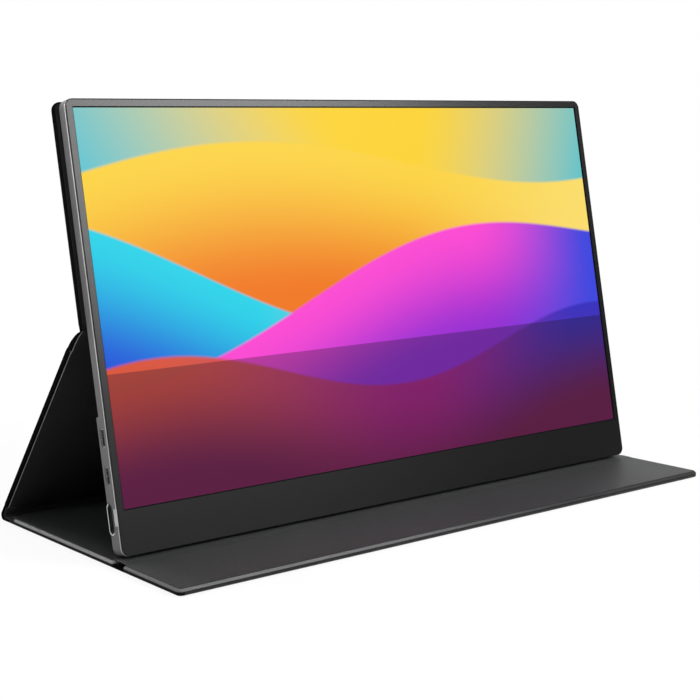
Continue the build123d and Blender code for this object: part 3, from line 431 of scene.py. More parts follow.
# %% [markdown]
# ## Bright metals
# Socket shells are drawn from tinned sheet, the tray is folded, the display socket's trim is
# stamped and polished. What tells them apart is how rough they are and which way the fine lines
# run. An anisotropic shader could show those lines, but a noise stretched along one axis does
# it in any light and bakes well, so one recipe serves all of them.

# %% Metals
def trim_shade(own):
    """The front and upper part of the display socket's trim, which lies in the shade."""
    return (own.part("Y") < 7.9 * MM) * (own.part("Z") > 12.0 * MM)


def metal(name, colour, rough, lines, size=0.4, spots=0.12, shade_of=None):
    """lines stretches the pattern along each axis, and a number below 1 makes it longer there."""
    shader, place = start_finish(name, metal=1.0)
    own = upright(place)
    streak = own.vector("MULTIPLY", lines).noise(size, detail=4, rough=0.65)
    stain = own.noise(6, detail=3)
    tone = (streak * 0.5 + stain * 0.5).rise(0.25, 0.7).blend(dimmed(colour, 1 - 2 * spots), colour)
    if shade_of:
        tone = shade_of(own).blend(tone, paint(58, 58, 59))
    gloss = (streak - 0.5) * 0.25 + stain * 0.12 + (rough - 0.06)
    lay_on(shader, tone, gloss, streak, 0.006)


metal("socket_metal", paint(205, 205, 208), 0.28, (0.15, 1, 1))
metal("socket_trim", paint(232, 232, 234), 0.2, (1, 1, 1), size=0.3, shade_of=trim_shade)
metal("tray", paint(200, 201, 205), 0.38, (0.05, 1, 1), size=0.8)
metal("can", paint(208, 206, 200), 0.34, (1, 1, 0.1), size=0.5)
metal("magnet", paint(196, 196, 194), 0.22, (1, 1, 1), size=1.2, spots=0.08)
metal("screw", paint(92, 92, 96), 0.36, (1, 1, 1), size=0.3)
print("finishes so far", len(finishes))


# %% [markdown]
# ## Circuit boards
# Nobody sees the boards until the case is opened, but a repairer would know them at once: dark
# green lacquer, copper tracks in two directions under it, and bare gilded pads. Tracks could be
# drawn as curves. A repeating ramp along each axis, broken up by large noise, gives the same
# orderly look for the price of a few nodes, and round cells make the pads.

# %% Circuit board
def lines_along(place, axis, pitch, low, high):
    """Parallel lines with a pitch in millimetres; low and high set how wide and soft they are."""
    return abs((place.part(axis) / (pitch * MM)) % 1.0 - 0.5).rise(low, high)


shader, place = start_finish("circuit_board")
own = upright(place)
track = lines_along(own, "Z", 1.9, 0.1, 0.14) * own.noise(9, detail=0).rise(0.46, 0.48)
cross = lines_along(own, "X", 2.3, 0.1, 0.14) * own.noise(12, detail=0).rise(0.5, 0.52)
copper = (track + cross).lowest(1.0)
pad = own.cells(3.4).rise(0.17, 0.15)
green = copper.blend(paint(7, 38, 25), paint(15, 60, 38))
lay_on(shader, pad.blend(green, paint(206, 184, 120)), 0.42 - copper * 0.1 - pad * 0.1,
       copper + pad * 0.5, 0.03, metal=pad * 0.9)
print("circuit board made from", len(shader.id_data.nodes), "nodes")

# %% [markdown]
# ## Flex film
# The ribbons that join the boards are amber film with fine copper lines side by side. The film
# could be half clear, but a thin clear sheet shows little and costs many rays, so the lines are
# darker stripes in an opaque amber, with a faint cloud where the film is a little thicker.

# %% Flex film
shader, place = start_finish("flex")
own = upright(place)
stripes = lines_along(own, "X", 0.8, 0.22, 0.3)
cloud = own.noise(7)
tone = stripes.blend(paint(196, 128, 44), paint(150, 88, 26))
tone = (cloud.rise(0.4, 0.8) * 0.25).blend(tone, paint(220, 160, 80))
lay_on(shader, tone, cloud * 0.15 + 0.28, stripes, 0.02)
print("finishes so far", len(finishes))


# %% [markdown]
# ## Films, light guide and lamps
# Behind the glass lie milky films, a clear plate that spreads the light, a white sheet and a row
# of small lamps. They could be real glass, which takes many rays for what only an opened case
# shows. A pale haze with fine printed dots says the same.

# %% Milky finishes
def milky(name, colour, shadow, rough, size):
    """A pale plastic sheet with haze and dots about size millimetres across."""
    shader, place = start_finish(name)
    own = upright(place)
    dots = own.cells(size, loose=0.35)
    tone = own.noise(size, detail=2).rise(0.3, 0.7).blend(colour, shadow)
    lay_on(shader, tone, dots * 0.12 + (rough - 0.04), dots, 0.01)


milky("film", paint(226, 228, 232), paint(206, 210, 218), 0.3, 1.4)
milky("guide", paint(222, 234, 236), paint(200, 218, 222), 0.16, 2.0)
milky("reflector", paint(246, 246, 246), paint(234, 235, 238), 0.5, 3.0)
milky("led", paint(246, 238, 180), paint(228, 208, 120), 0.35, 1.0)
print("finishes so far", len(finishes))


# %% [markdown]
# ## The leather of the cover
# The cover is black coated leather with a fine pebble grain, glued over stiff board. The grain
# is a field of small cells: their borders are creases, their middles stand up. It could hang on
# the coordinates of space, and would then swim through the leather as a panel folds. So it is
# drawn on the leather's own flat coordinates, in metres along and across the cover, and bends
# with it. The lining is the same stuff, pressed flatter.

# %% Grain of skin and lining
from collections import namedtuple

Spot = namedtuple("Spot", "inward share cloud run side")


def leather(name, colour, light, size, height, rough, edge, specular=0.02):
    """size is the grain's in millimetres; edge takes a Spot and a colour and gives the colour there."""
    shader, place = start_finish(name, specular=specular)
    flat = place.make("ShaderNodeUVMap", {"uv_map": "grain"})
    drift = flat.noise(3 * size, detail=2)
    sideways = flat.make("ShaderNodeCombineXYZ", None,
                         {0: drift * (0.5 * size * MM), 1: drift * (-0.4 * size * MM)})
    shifted = flat.vector("ADD", sideways)
    pebble = shifted.cells(size, "SMOOTH_F1")
    crease = shifted.cells(size, "DISTANCE_TO_EDGE").rise(0.0, 0.12)
    cloud = flat.noise(22, detail=3)
    # Darker in the creases and paler on the pebbles' raised middles, as painted shade and sheen, and varied
    # at random with the clouds.
    tone = (crease * 0.5 + cloud * 0.5).rise(0.25, 0.85).blend(colour, light)
    rim = place.make("ShaderNodeUVMap", {"uv_map": "rim"})
    spot = Spot(inward=rim.part("X"), share=rim.part("Y"), cloud=cloud, run=flat.part("Y"),
                side=place.part("X"))
    tone = edge(spot, tone)
    relief = crease * 0.6 - pebble * 0.5 + flat.noise(0.25, detail=2) * 0.3
    lay_on(shader, tone, rough + (cloud - 0.5) * 0.12 - crease * 0.05, relief, height)


print("leather recipe ready")


# %% [markdown]
# ## Edges of the leather
# Round each panel the leather is turned over the board, and its edge is plain black. On the
# base, a grey highlight is painted on the edge's upper rounding. The lining's edge is pressed
# down, and on the leg and its crease a pale highlight is painted along it. Each edge could be a
# strip of its own. Instead every mesh here carries a second set of flat coordinates, the way in
# from the edge and the share of the height. An edge is a function of a spot, which has those
# two, the cloud's tone there, the way along the cover and the place from left to right.

# %% Edges
def turned_edge(painted_highlight=None, stop=1.0, fading=0.0):
    """The turned edge: black, with a highlight painted on its upper rounding, up to stop metres along and
    fading to the right.
    """
    def edge(spot, tone):
        near = 1 - spot.inward.rise(0.5 * MM, 1.8 * MM)
        tone = (near * 0.8).blend(tone, paint(9, 9, 9))
        if painted_highlight is None:
            return tone
        # The grey band on the upper rounding is a painted highlight.
        painted_band = near * spot.share.rise(0.52, 0.72) * (0.75 + spot.cloud * 0.3)
        painted_band = painted_band * (1 - spot.run.rise(stop - 3 * MM, stop))
        painted_band = painted_band * (1 - spot.side.rise(-0.1, 0.08) * fading)
        return painted_band.lowest(1.0).blend(tone, painted_highlight)
    return edge


def plain_edge(spot, tone):
    """An edge that is pressed down and a touch darker."""
    return ((1 - spot.inward.rise(0.1 * MM, 0.5 * MM)) * 0.15).blend(tone, paint(16, 16, 16))


def pale_highlight_edge(spot, tone):
    """A pale highlight painted along a lining's edge."""
    near = 1 - spot.inward.rise(0.16 * MM, 0.28 * MM)
    return (near * (0.5 + spot.cloud * 0.5)).lowest(1.0).blend(tone, paint(134, 133, 131))


print("a spot tells", Spot._fields)

# %% [markdown]
# ## Skins and linings
# One leather serves the whole cover, but it differs from place to place: the broad outer
# face, over panels and folds alike, is handled most and has a soft sheen, the sides stay matt,
# the base's edges carry a painted highlight, and the linings are greyer than the skin. The rear
# base's lining is painted darker, as shade under the monitor and the leg. One finish with many
# masks could say all that. A finish for each kind of layer is easier to read and to tune.

# %% Leather finishes
HIGHLIGHT_END = (corner_y - 17.5) * MM
# The paler grain colour is partly random mottle and partly painted sheen.
BLACK, MOTTLE_AND_SHEEN = paint(25, 25, 26), paint(34, 34, 35)
leather("outer_skin", paint(27, 27, 28), paint(40, 40, 41), 0.85, 0.2, 0.5, plain_edge, 0.2)
leather("cover_skin", paint(16, 16, 17), paint(22, 22, 23), 0.75, 0.09, 0.7, turned_edge(), 0.0)
# The rear and front skins carry a painted highlight on their upper edges.
leather("rear_skin", BLACK, MOTTLE_AND_SHEEN, 0.75, 0.09, 0.6, turned_edge(paint(138, 138, 139), HIGHLIGHT_END))
leather("front_skin", BLACK, MOTTLE_AND_SHEEN, 0.75, 0.09, 0.6, turned_edge(paint(112, 112, 113), fading=0.75))
leather("cover_lining", paint(34, 35, 36), paint(57, 58, 58), 0.95, 0.16, 0.5, plain_edge, 0.2)
leather("hold_lining", paint(18, 18, 19), paint(27, 27, 28), 0.85, 0.1, 0.6, plain_edge, 0.05)
# The rear base's lining is painted darker, as shade under the monitor and the leg.
leather("rear_lining", paint(25, 26, 27), paint(43, 44, 44), 0.95, 0.16, 0.5, plain_edge, 0.12)
leather("leg_lining", paint(32, 32, 33), paint(43, 43, 44), 0.85, 0.11, 0.5, pale_highlight_edge)
finishes["fold"] = finishes["cover_skin"]
print("leather finishes", sorted(name for name in finishes if name.endswith(("skin", "lining"))))

# %% [markdown]
# ## Board inside the cover
# The panels are stiff because of brown board between skin and lining, as in a book's cover.
# It is hidden, and a flat colour would do until somebody takes the cover apart. Pressed fibres
# lie mostly along one direction, so a noise stretched that way makes them.

# %% Board
shader, place = start_finish("cover_board")
fibre = place.vector("MULTIPLY", (1, 0.25, 0.25)).noise(0.8, detail=5, rough=0.7)
pulp = (fibre * 0.6 + place.noise(14) * 0.4).rise(0.3, 0.7)
lay_on(shader, pulp.blend(paint(150, 128, 98), paint(186, 164, 130)), fibre * 0.1 + 0.8, fibre, 0.08)
print("finishes in all", len(finishes))

# %% [markdown]
# ## Dressing the CAD nodes
# Every CAD node carries the name of its finish. They could be dressed one by one, but a short
# loop swaps each plain material for the finish of the same name and says so if one is missing.
# The small display socket's shell is painted dark, unlike the other two, as shade inside its deep opening,
# so it gets its own finish.

# %% Dress the nodes
missing = set()
for name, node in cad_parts.items():
    for slot in node.material_slots:
        finish = slot.material.name.split(".")[0] if slot.material else ""
        # Painted shade: the small display socket's shell takes the dark finish.
        if name.startswith("mini_"):
            finish = "dark_shell"
        if finish in finishes:
            slot.material = finishes[finish]
        else:
            missing.add((name, finish))
print("nodes without a finish", sorted(missing))

# %% [markdown]
# ## One section of a wrapped edge
# A bookbinder folds leather over boards. In mesh terms that is one section, a bar with rounded
# sides 358 mm wide, carried along the cover's side view. Where a board ends the section thins
# into the fold, and at a free end it shrinks round the corner. A bevel modifier could round a
# plain slab too, but it can't thin a fold, so the sections are worked out one by one.

# %% Work out one section
ARC = 10
FAR_IN = 99.0


def section(half, low, high, rim, back=None, corner=0.0):
    """Points (x, height, way in from the edge, share of the height) round one section.

    back is the section's distance from a free, rounded end, and corner that end's rounding in plan.
    """
    tall = (high - low) / 2
    rim = min(rim, tall * 0.999)
    reach = math.pi / 2
    if back is not None and back < rim:
        reach = math.asin(math.sqrt(max(0.0, rim ** 2 - (rim - back) ** 2)) / rim)
    side = []
    for step in range(ARC + 1):
        turn = reach * (2 * step / ARC - 1)
        inset = rim * (1 - math.cos(turn))
        if back is not None and back < corner:
            across = half - corner + math.sqrt(max(0.0, (corner - inset) ** 2 - (corner - back) ** 2))
        else:
            across = half - inset
        lift = math.copysign(tall - rim, turn) if abs(turn) > 1e-9 else 0.0
        side.append((across, (low + high) / 2 + lift + rim * math.sin(turn)))
    flat = max(0.5, half - corner - 2.0)
    wide = max(x for x, h in side)
    end = FAR_IN if back is None else back
    right = [(x, h, min(wide - x, end), (h - low) / (high - low))
             for x, h in [(flat, side[0][1])] + side + [(flat, side[-1][1])]]
    return right + [(-x, h, way, share) for x, h, way, share in reversed(right)]


print("points round a section", len(section(HALF_W, 0, PANEL_T, 1.1)))


# %% [markdown]
# ## Carrying the section along
# A curve with a bevel object would carry one section along a path too, but its form would be
# the same all the way. Here each station has its own section, and faces join it to the next
# one, as ribs carry a boat's planks. The two sets of flat coordinates that the leather reads
# are written on the way, and a skin's broad outer face gets the finish with the soft sheen.

# %% Carry the section
def into_scene(name, data):
    """Put new data into the scene as an object."""
    made = bpy.data.objects.new(name, data)
    bpy.context.scene.collection.objects.link(made)
    return made


def carried(name, stations, finish):
    """Skin a row of sections; a station is (outer point, inward direction, section points)."""
    verts, faces, grain, rims = [], [], [], []
    count = len(stations[0][2])
    travel = 0.0
    for index, (outer, inward, ring) in enumerate(stations):
        if index:
            travel += math.dist(outer, stations[index - 1][0])
        around = 0.0
        for step, (x, h, way, share) in enumerate(ring):
            if step:
                around += math.dist((x, h), ring[step - 1][:2])
            verts.append(Vector((x, outer[0] + inward[0] * h - centre_y, outer[1] + inward[1] * h)) * MM)
            grain.append((around * MM, travel * MM))
            rims.append((way * MM, share))
    for row in range(len(stations) - 1):
        for step in range(count):
            near, far = row * count, (row + 1) * count
            faces.append((near + step, near + (step + 1) % count, far + (step + 1) % count, far + step))
    faces.append(tuple(reversed(range(count))))
    faces.append(tuple(range((len(stations) - 1) * count, len(stations) * count)))
    mesh = bpy.data.meshes.new(name)
    mesh.from_pydata(verts, [], faces)
    for title, spots in (("grain", grain), ("rim", rims)):
        flat = mesh.uv_layers.new(name=title)
        for loop in mesh.loops:
            flat.data[loop.index].uv = spots[loop.vertex_index]
    mesh.polygons.foreach_set("use_smooth", [True] * len(mesh.polygons))
    mesh.set_sharp_from_angle(angle=math.radians(42))
    mesh.update()
    mesh.materials.append(finishes[finish])
    if finish.endswith("skin"):
        mesh.materials.append(finishes["outer_skin"])
        outer_steps = (0, count - 2, count - 1)
        for index in range((len(stations) - 1) * count):
            mesh.polygons[index].material_index = int(index % count in outer_steps)
    return into_scene(name, mesh)


# %% [markdown]
# ## Where the sections stand
# A curve needs sections close together and a straight stretch needs hardly any. Even spacing
# would either waste faces or leave the corners angular. So the sections follow the arcs: close
# at a rounded free end and where the leather thins into a fold, and three between the ends.

# %% Places of the sections
RIM, LIP, RAMP = 1.1, 1.1, 3.0
RAMP_MARKS = {0.0, 0.3, 0.6, 1.0, 1.5, 2.0, 2.5, 3.0, 4.5}


def marks(length, near_free, far_free, corners):
    """Where the sections stand: close together at both ends."""
    ends = []
    for free, corner in zip((near_free, far_free), corners):
        arcs = {round(RIM * (1 - math.cos(a * math.pi / 12)), 4) for a in range(7)}
        arcs |= {round(corner * (1 - math.cos(a * math.pi / 20)), 4) for a in range(1, 11)} | {corner + 1.5}
        ends.append(arcs if free else RAMP_MARKS)
    between = {length * share for share in (0.25, 0.5, 0.75)}
    return sorted(ends[0] | {length - mark for mark in ends[1]} | between)


print("sections on a panel of 100 mm", len(marks(100.0, True, False, (3.0, 3.0))))

# %% [markdown]
# ## One stiff panel
# A panel's outer face is one plane. Near a fold its board ends, and the leather drops to the
# fold's thickness in about three millimetres. At a free end the corner is rounded in plan and
# the edge is rounded in section. One body for skin and lining would be simpler, but the real
# cover is layered, so the lining is a second, thinner carry. It lies 1.1 mm in from the edge
# and stands a little proud of the skin that is turned round it.

# %% Panel maker
COVER_HALF, FOLD_HALF = HALF_W + 3.12, HALF_W + 2.62
LINING_T, LINING_PROUD = 0.45, 0.4


def ease(share):
    """A soft step from 0 to 1."""
    share = max(0.0, min(1.0, share))
    return share * share * (3 - 2 * share)


def panel(name, finish, start, course, inward, length, thick, near, far, corners):
    """near and far are the fold's thickness at that end, or None where the end is free."""
    lining = finish.endswith("lining")
    inset = LIP if lining else 0.0
    first = inset if near is None else 0.0
    last = length - (inset if far is None else 0.0)
    bows = [max(corner - inset, 0.8) for corner in corners]
    stations = []
    for mark in marks(last - first, near is None, far is None, bows):
        spot = first + mark
        here, half = thick, COVER_HALF
        for fold_t, gap in ((near, spot), (far, length - spot)):
            if fold_t is not None:
                here -= (thick - fold_t) * (1 - ease(gap / RAMP))
                half -= (COVER_HALF - FOLD_HALF) * (1 - ease(gap / RAMP))
        back, bow = None, 0.0
        if near is None and mark < bows[0]:
            back, bow = mark, bows[0]
        if far is None and last - first - mark < bows[1]:
            back, bow = last - first - mark, bows[1]
        low, high = (here - LINING_T, here) if lining else (0.0, here - LINING_PROUD)
        ring = section(half - inset, low, high, LINING_T / 2 if lining else RIM, back, bow)
        stations.append(((start[0] + course[0] * spot, start[1] + course[1] * spot), inward, ring))
    return carried(name, stations, finish)


print("half the cover's width in mm", round(COVER_HALF, 1))

# %% [markdown]
# ## The four panels
# The cover has a hold panel on the housing's back, the leg, the rear base under the monitor and
# the front base before it. Each row below says where a panel starts in the side view, which way
# it runs, where its lining faces, how long and thick it is, and what its two ends are. The hold
# panel's top is drawn 1.6 mm longer than in the CAD model, with tighter corners, as it looks on
# the real cover. A skin and a lining stand for each CAD pair and ride on the same body.

# %% Make the panels
GROOVE_REAR, GROOVE_FRONT = 4.8, -5.0
CORNER_UP, CORNER_ALONG = 5.0, 6.5
leg_start = (leg_top[0] + (LEG_LEN - CORNER_UP) * leg_sin, CORNER_R * (1 + leg_sin) + CORNER_UP * leg_cos)
PANELS = {
    "hold_panel": dict(start=(crease_y, crease_z), course=(lean_sin, lean_cos),
                       inward=(-lean_cos, lean_sin), length=HOUSING_H - 0.4 - HOLD_FOOT,
                       thick=HOLD_T, near=FOLD_T, far=None, corners=(4.5, 4.5)),
    "leg": dict(start=leg_start, course=(-leg_sin, leg_cos), inward=(-leg_cos, -leg_sin),
                length=LEG_LEN - CORNER_UP, thick=PANEL_T, near=FOLD_T, far=PANEL_T, corners=(1.5, 1.5)),
    "rear_base": dict(start=(GROOVE_REAR, 0.0), course=(1.0, 0.0), inward=(0.0, 1.0),
                      length=corner_y - CORNER_ALONG - GROOVE_REAR, thick=PANEL_T, near=None, far=FOLD_T,
                      corners=(1.2, 1.2)),
    "front_base": dict(start=(GROOVE_FRONT, 0.0), course=(-1.0, 0.0), inward=(0.0, 1.0),
                       length=FRONT_REACH + GROOVE_FRONT, thick=PANEL_T, near=None, far=None,
                       corners=(1.2, 3.0)),
}
LAYERS = {
    "hold_panel": ("monitor", "cover_skin", "hold_lining"),
    "leg": ("leg_panel", "cover_skin", "leg_lining"),
    "rear_base": ("rear_base", "rear_skin", "rear_lining"),
    "front_base": ("front_base", "front_skin", "cover_lining"),
}
for name, shape in PANELS.items():
    body, *pair = LAYERS[name]
    for layer, finish in zip(("skin", "lining"), pair):
        piece = panel("soft_" + name + "_" + layer, finish, **shape)
        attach(piece, body)
        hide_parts(name + "_" + layer)
    print(name, "made,", round(shape["length"], 1), "mm long")


# %% [markdown]
# ## Curves for the folds
# Between the boards the leather is free to bend, and seen from the side it makes plain curves:
# a shallow bow at the crease, a quarter turn and more at the rear corner, a hump over the
# groove. Spline curves could follow them, but a circle through three points has no handles to
# tune, so bows and straight runs are all that the folds are drawn with.

# %% Side-view curves
def through(first, middle, last, count):
    """Points on the circle through three points of the side view."""
    (ax, ay), (bx, by), (cx, cy) = first, middle, last
    a2, b2, c2 = ax * ax + ay * ay, bx * bx + by * by, cx * cx + cy * cy
    double_area = 2 * (ax * (by - cy) + bx * (cy - ay) + cx * (ay - by))
    ox = (a2 * (by - cy) + b2 * (cy - ay) + c2 * (ay - by)) / double_area
    oy = (a2 * (cx - bx) + b2 * (ax - cx) + c2 * (bx - ax)) / double_area
    radius = math.dist((ox, oy), first)
    begin = math.atan2(ay - oy, ax - ox)
    end = begin + (math.atan2(cy - oy, cx - ox) - begin + math.pi) % (2 * math.pi) - math.pi
    turns = [begin + (end - begin) * i / count for i in range(count + 1)]
    return [(ox + radius * math.cos(t), oy + radius * math.sin(t)) for t in turns]


def bowed(start, end, rise, count):
    """A shallow bow whose middle stands rise millimetres off the straight line."""
    run = (end[0] - start[0], end[1] - start[1])
    size = math.hypot(*run)
    middle = ((start[0] + end[0]) / 2 - rise * run[1] / size,
              (start[1] + end[1]) / 2 + rise * run[0] / size)
    return through(start, middle, end, count)


def straight(start, end, count):
    """Points along a straight line."""
    return [(start[0] + (end[0] - start[0]) * i / count, start[1] + (end[1] - start[1]) * i / count)
            for i in range(count + 1)]


print("middle of a quarter turn", [round(v, 2) for v in through((1, 0), (0.7071, 0.7071), (0, 1), 2)[1]])


# %% [markdown]
# ## A fold of two layers
# Each fold is a skin and a lining, carried along its own curve between an outer and an inner
# row of points. Both layers have their transforms applied, and the CAD model's strip for the
# fold is hidden.

# %% Fold maker
def fold(name, outer, inner, finish="cover_skin", trim=LINING_PROUD, rim=RIM):
    """One layer of a fold between two rows of points; trim is how far the lining stands above the skin."""
    stations = []
    for out, into in zip(outer, inner):
        thick = math.dist(out, into)
        inward = ((into[0] - out[0]) / thick, (into[1] - out[1]) / thick)
        if finish.endswith("lining"):
            ring = section(FOLD_HALF - LIP, thick - LINING_T, thick, LINING_T / 2)
        else:
            ring = section(FOLD_HALF, 0.0, thick - trim, rim)
        stations.append((out, inward, ring))
    return carried(name, stations, finish)


def join(name, skin, lining, zone):
    """Apply both layers' transforms and hide the CAD model's strip, which the skin stands for."""
    start, end = [Vector((0.0, y - centre_y, z)) * MM for y, z in zone]
    for piece in (skin, lining):
        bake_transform(piece)
    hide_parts(name + "_strip")


print("half a fold's width in mm", round(FOLD_HALF, 1))

# %% [markdown]
# ## Crease above the leg
# Where the leg bends away from the housing's back the leather has no board, and it bulges out
# a little. A straight strip would show a sharp line at each end. So the outer row bows out by
# 1 mm and the inner one by 0.6 mm, and the strip goes from a fold's thickness to the leg's.

# %% Crease
crease_out = bowed((crease_y, crease_z), leg_top, 1.0, 24)
crease_in = bowed((crease_y - FOLD_T * lean_cos, crease_z + FOLD_T * lean_sin),
                  (leg_top[0] - PANEL_T * leg_cos, leg_top[1] - PANEL_T * leg_sin), 0.6, 24)
crease_skin = fold("soft_crease_skin", crease_out, crease_in)
crease_lining = fold("soft_crease_lining", crease_out, crease_in, "leg_lining")
join("crease", crease_skin, crease_lining, (crease_out[2], crease_out[-4]))
print("crease", len(crease_out), "sections")


# %% [markdown]
# ## Rear corner
# At the back the leather runs down the leg, turns under and comes forward along the table. A
# circle through three points would do for the turn, but its centre is known here. So it is an
# arc round that centre, with a short straight run at each end, up to the boards. Both rows
# share the centre, and the leather keeps its thickness all round.

# %% Corner
def corner_course(radius, start, count=20):
    """A straight run down the leg, the arc, and a straight run along the base."""
    turns = [slope + (-math.pi / 2 - slope) * i / count for i in range(count + 1)]
    arc = [(corner_y + radius * math.cos(t), CORNER_R + radius * math.sin(t)) for t in turns]
    end = (corner_y - CORNER_ALONG, CORNER_R - radius)
    return straight(start, arc[0], 6)[:-1] + arc + straight(arc[-1], end, 6)[1:]


corner_out = corner_course(CORNER_R, leg_start)
inner_start = (leg_start[0] - FOLD_T * leg_cos, leg_start[1] - FOLD_T * leg_sin)
corner_in = corner_course(CORNER_R - FOLD_T, inner_start)
corner_skin = fold("soft_corner_skin", corner_out, corner_in)
corner_lining = fold("soft_corner_lining", corner_out, corner_in, "cover_lining")
join("corner", corner_skin, corner_lining, (leg_start, corner_out[-1]))
print("corner turns", round(90 + math.degrees(slope)), "degrees")

# %% [markdown]
# ## Groove at the monitor's foot
# The monitor's foot stands in a groove between the two base panels, where a flat skin lies on
# the table and the lining humps up over it. The front panel can fold up here, so the skin's
# sections stand close together in a short stretch near the joint's axis. If the whole groove
# bent, its half-turned points would dip below the table, so the bend is kept short and close
# to the joint's axis, with many sections in it.

# %% Groove
GROOVE_BEND, GROOVE_END = -2.4, -4.9
SKIN_T, GROOVE_RISE, GROOVE_MIDDLE, LAP, SEAT = 0.9, 0.35, -0.1, LIP + 0.3, PANEL_T + 0.02


def under(height):
    """Points along the groove's skin, close together where it bends."""
    behind = straight((GROOVE_REAR + RIM, height), (GROOVE_BEND, height), 6)
    return behind[:-1] + straight((GROOVE_BEND, height), (GROOVE_FRONT - RIM, height), 16)


over_in = through((GROOVE_REAR + LAP, SEAT), (GROOVE_MIDDLE, PANEL_T + GROOVE_RISE),
                  (GROOVE_FRONT - LAP, SEAT), 48)
over_out = [(y, z - LINING_T) for y, z in over_in]
groove_skin = fold("soft_groove_skin", under(0.0), under(SKIN_T), trim=0.0, rim=0.4)
groove_lining = fold("soft_groove_lining", over_out, over_in, "cover_lining")
join("groove", groove_skin, groove_lining,
     ((GROOVE_BEND, 1.0), (GROOVE_END, 1.0)))
print("groove", round(GROOVE_REAR - GROOVE_FRONT, 1), "mm wide")


# %% [markdown]
# ## White floor that keeps the shadow
# The object stands on plain white paper that fills the view. A very bright lamp could burn the
# paper white, but it would bleach the object too. So to the camera, and in reflections, the
# paper is mostly its own glow, and near the object about a sixth of it is a lit surface, which
# keeps the soft shadow under the cover. To all other rays it is ordinary pale paper.

# %% Floor
FLOOR_HALF, FLOOR_Z = 12, -0.0004


def seen_directly(tree):
    """1 for rays of the camera, off something shiny or through something clear, and 0 for the rest."""
    camera, glossy, clear = [Wire(tree).make("ShaderNodeLightPath", out=ray)
                             for ray in ("Is Camera Ray", "Is Glossy Ray", "Is Transmission Ray")]
    return camera.highest(glossy).highest(clear)


def four_sided(name, corners):
    """One flat face as an object that isn't part of the monitor."""
    mesh = bpy.data.meshes.new(name)
    mesh.from_pydata(corners, [], [(0, 1, 2, 3)])
    return into_scene(name, mesh)


signs = ((-1, -1), (1, -1), (1, 1), (-1, 1))
floor = four_sided("floor", [(x * FLOOR_HALF, y * FLOOR_HALF, FLOOR_Z) for x, y in signs])
floor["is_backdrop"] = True
material = bpy.data.materials.new("white_paper")
material.use_nodes = True
material.node_tree.nodes.clear()
place = Wire(material.node_tree).make("ShaderNodeTexCoord", out="Object")
away = place.make("ShaderNodeVectorMath", {"operation": "LENGTH"}, {0: place}, out=1)
glow = seen_directly(material.node_tree) * (away.rise(0.15, 0.45) * 0.16 + 0.84)
paper = place.make("ShaderNodeBsdfDiffuse", None, {"Color": (0.86, 0.86, 0.86, 1.0)})
light = place.make("ShaderNodeEmission", None, {"Color": (1.0, 1.0, 1.0, 1.0), "Strength": 1.0})
mixed = place.make("ShaderNodeMixShader", None, {0: glow, 1: paper, 2: light})
mixed.make("ShaderNodeOutputMaterial", None, {"Surface": mixed})
floor.data.materials.append(material)
print("floor laid,", 2 * FLOOR_HALF, "m wide")

# %% [markdown]
# ## World
# Round a product on white paper the studio is white as well. The camera and the reflections see
# it at full white. As a lamp, that much light from all sides would wash out every shadow, so
# all other rays meet it at four tenths.

# %% World
world = bpy.data.worlds.new("studio")
bpy.context.scene.world = world
world.use_nodes = True
world.node_tree.nodes.clear()
white = seen_directly(world.node_tree).blend((0.4, 0.4, 0.4, 1.0), (1.0, 1.0, 1.0, 1.0))
around_it = white.make("ShaderNodeBackground", None, {"Color": white, "Strength": 1.0})
around_it.make("ShaderNodeOutputWorld", None, {"Surface": around_it})
print("world lit with", len(world.node_tree.nodes), "nodes")


# %% [markdown]
# ## Softboxes
# Softboxes are square lamps with cloth in front, and their size makes the shadows soft. A sun
# lamp would be simpler, but its shadows are hard. The key lamp stands at the right front, where
# it also draws the highlight that fades along the dark frame. One lights the back and one the
# top, and a small one with a grid, which narrows its beam, picks out the top left corner.

# %% Lamps
def softbox(name, azimuth, elevation, distance, size, glow, aim=(0.0, 0.0, 0.1)):
    """A square lamp; azimuth 0 stands in front of the object and 90 at its right."""
    turn, lift = math.radians(azimuth), math.radians(elevation)
    back = Vector((math.sin(turn) * math.cos(lift), -math.cos(turn) * math.cos(lift), math.sin(lift)))
    data = bpy.data.lights.new(name, "AREA")
    data.size = size
    data.energy = glow * math.pi * size * size
    lamp = into_scene(name, data)
    lamp.location = Vector(aim) + back * distance
    lamp.rotation_mode = "QUATERNION"
    lamp.rotation_quaternion = back.to_track_quat("Z", "Y")
    return lamp


softbox("key", 36, 20.5, 1.5, 0.58, 20.0, aim=(-0.15, 0.0, 0.2))
softbox("back", 198, 44, 1.6, 0.6, 10.0)
softbox("top", -22, 64, 1.5, 0.5, 6.0)
gridded = softbox("upper_left", -72, 30, 0.62, 0.24, 1.6, aim=(-0.176, 0.0, 0.23))
gridded.data.spread = math.radians(40)
print("lamps placed", len(bpy.data.lights))


# %% [markdown]
# ## A dark flag at the right
# In the photograph the frame goes from light grey at the top left to near black at the right,
# as glossy plastic does where a photographer hangs black cloth. Painting that shade on would be
# wrong from every other side. The cloth here is seen by reflections alone, so it takes no light
# away and hides nothing.

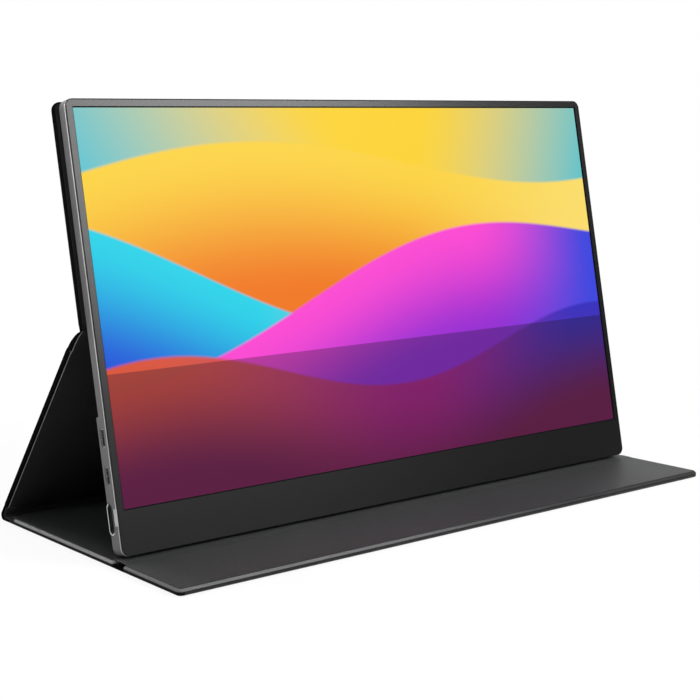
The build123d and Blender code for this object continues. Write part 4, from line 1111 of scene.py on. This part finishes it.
# %% Black cloth
def flag(azimuth, distance, wide, high):
    """An upright black cloth that only reflections see."""
    turn = math.radians(azimuth)
    middle = Vector((math.sin(turn), -math.cos(turn), 0.0)) * distance
    side = Vector((math.cos(turn), math.sin(turn), 0.0)) * (wide / 2)
    top = Vector((0.0, 0.0, high))
    cloth = four_sided("flag", [middle - side, middle + side, middle + side + top, middle - side + top])
    for ray in ("camera", "diffuse", "transmission", "volume_scatter", "shadow"):
        setattr(cloth, "visible_" + ray, False)
    cloth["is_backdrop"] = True
    black = bpy.data.materials.new("black_cloth")
    black.use_nodes = True
    shader = black.node_tree.nodes["Principled BSDF"]
    shader.inputs["Base Color"].default_value = paint(6, 6, 6)
    shader.inputs["Roughness"].default_value = 1.0
    shader.inputs["Specular IOR Level"].default_value = 0.0
    cloth.data.materials.append(black)


FLAG_WIDE, FLAG_HIGH = 1.3, 0.8
flag(64, 1.3, FLAG_WIDE, FLAG_HIGH)
print("flag hung,", FLAG_WIDE, "by", FLAG_HIGH, "m")

# %% [markdown]
# ## The camera
# It stands low at the front left, and its long lens keeps the lines nearly parallel. The place
# could be found by trial, but a pinhole camera was fitted to the corners of the picture area and
# of the housing in the photograph, so that the render and the photograph cover each other.

# %% Camera
FOCAL_PIXELS, PICTURE_PIXELS, SENSOR = 1499.875, 700, 36.0
CAMERA_PLACE = (-516.03, -642.40, 201.94)
yaw, pitch, roll = math.radians(38.240), math.radians(8.163), math.radians(-0.723)
ahead = Vector((math.sin(yaw) * math.cos(pitch), math.cos(yaw) * math.cos(pitch), -math.sin(pitch)))
right = Vector((math.cos(yaw), -math.sin(yaw), 0.0))
up = right.cross(ahead)
turned_right = right * math.cos(roll) + up * math.sin(roll)
turned_up = up * math.cos(roll) - right * math.sin(roll)
data = bpy.data.cameras.new("camera")
data.sensor_width = SENSOR
data.lens = FOCAL_PIXELS / PICTURE_PIXELS * SENSOR
camera = into_scene("camera", data)
turned = Matrix((turned_right, turned_up, -ahead)).transposed().to_4x4()
camera.matrix_world = Matrix.Translation(Vector(CAMERA_PLACE) * MM) @ turned
bpy.context.scene.camera = camera
bpy.context.scene.view_settings.view_transform = "Standard"
print("lens", round(data.lens, 2), "mm")

# %% [markdown]
# ## Measure and finish
# Blender must not change the object's size, so the box of the dressed model is printed, as
# the box of the CAD model was at the start.

# %% Measure the dressed model
low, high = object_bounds()
print("dressed size in mm", [round(1000 * (b - a), 1) for a, b in zip(low, high)])
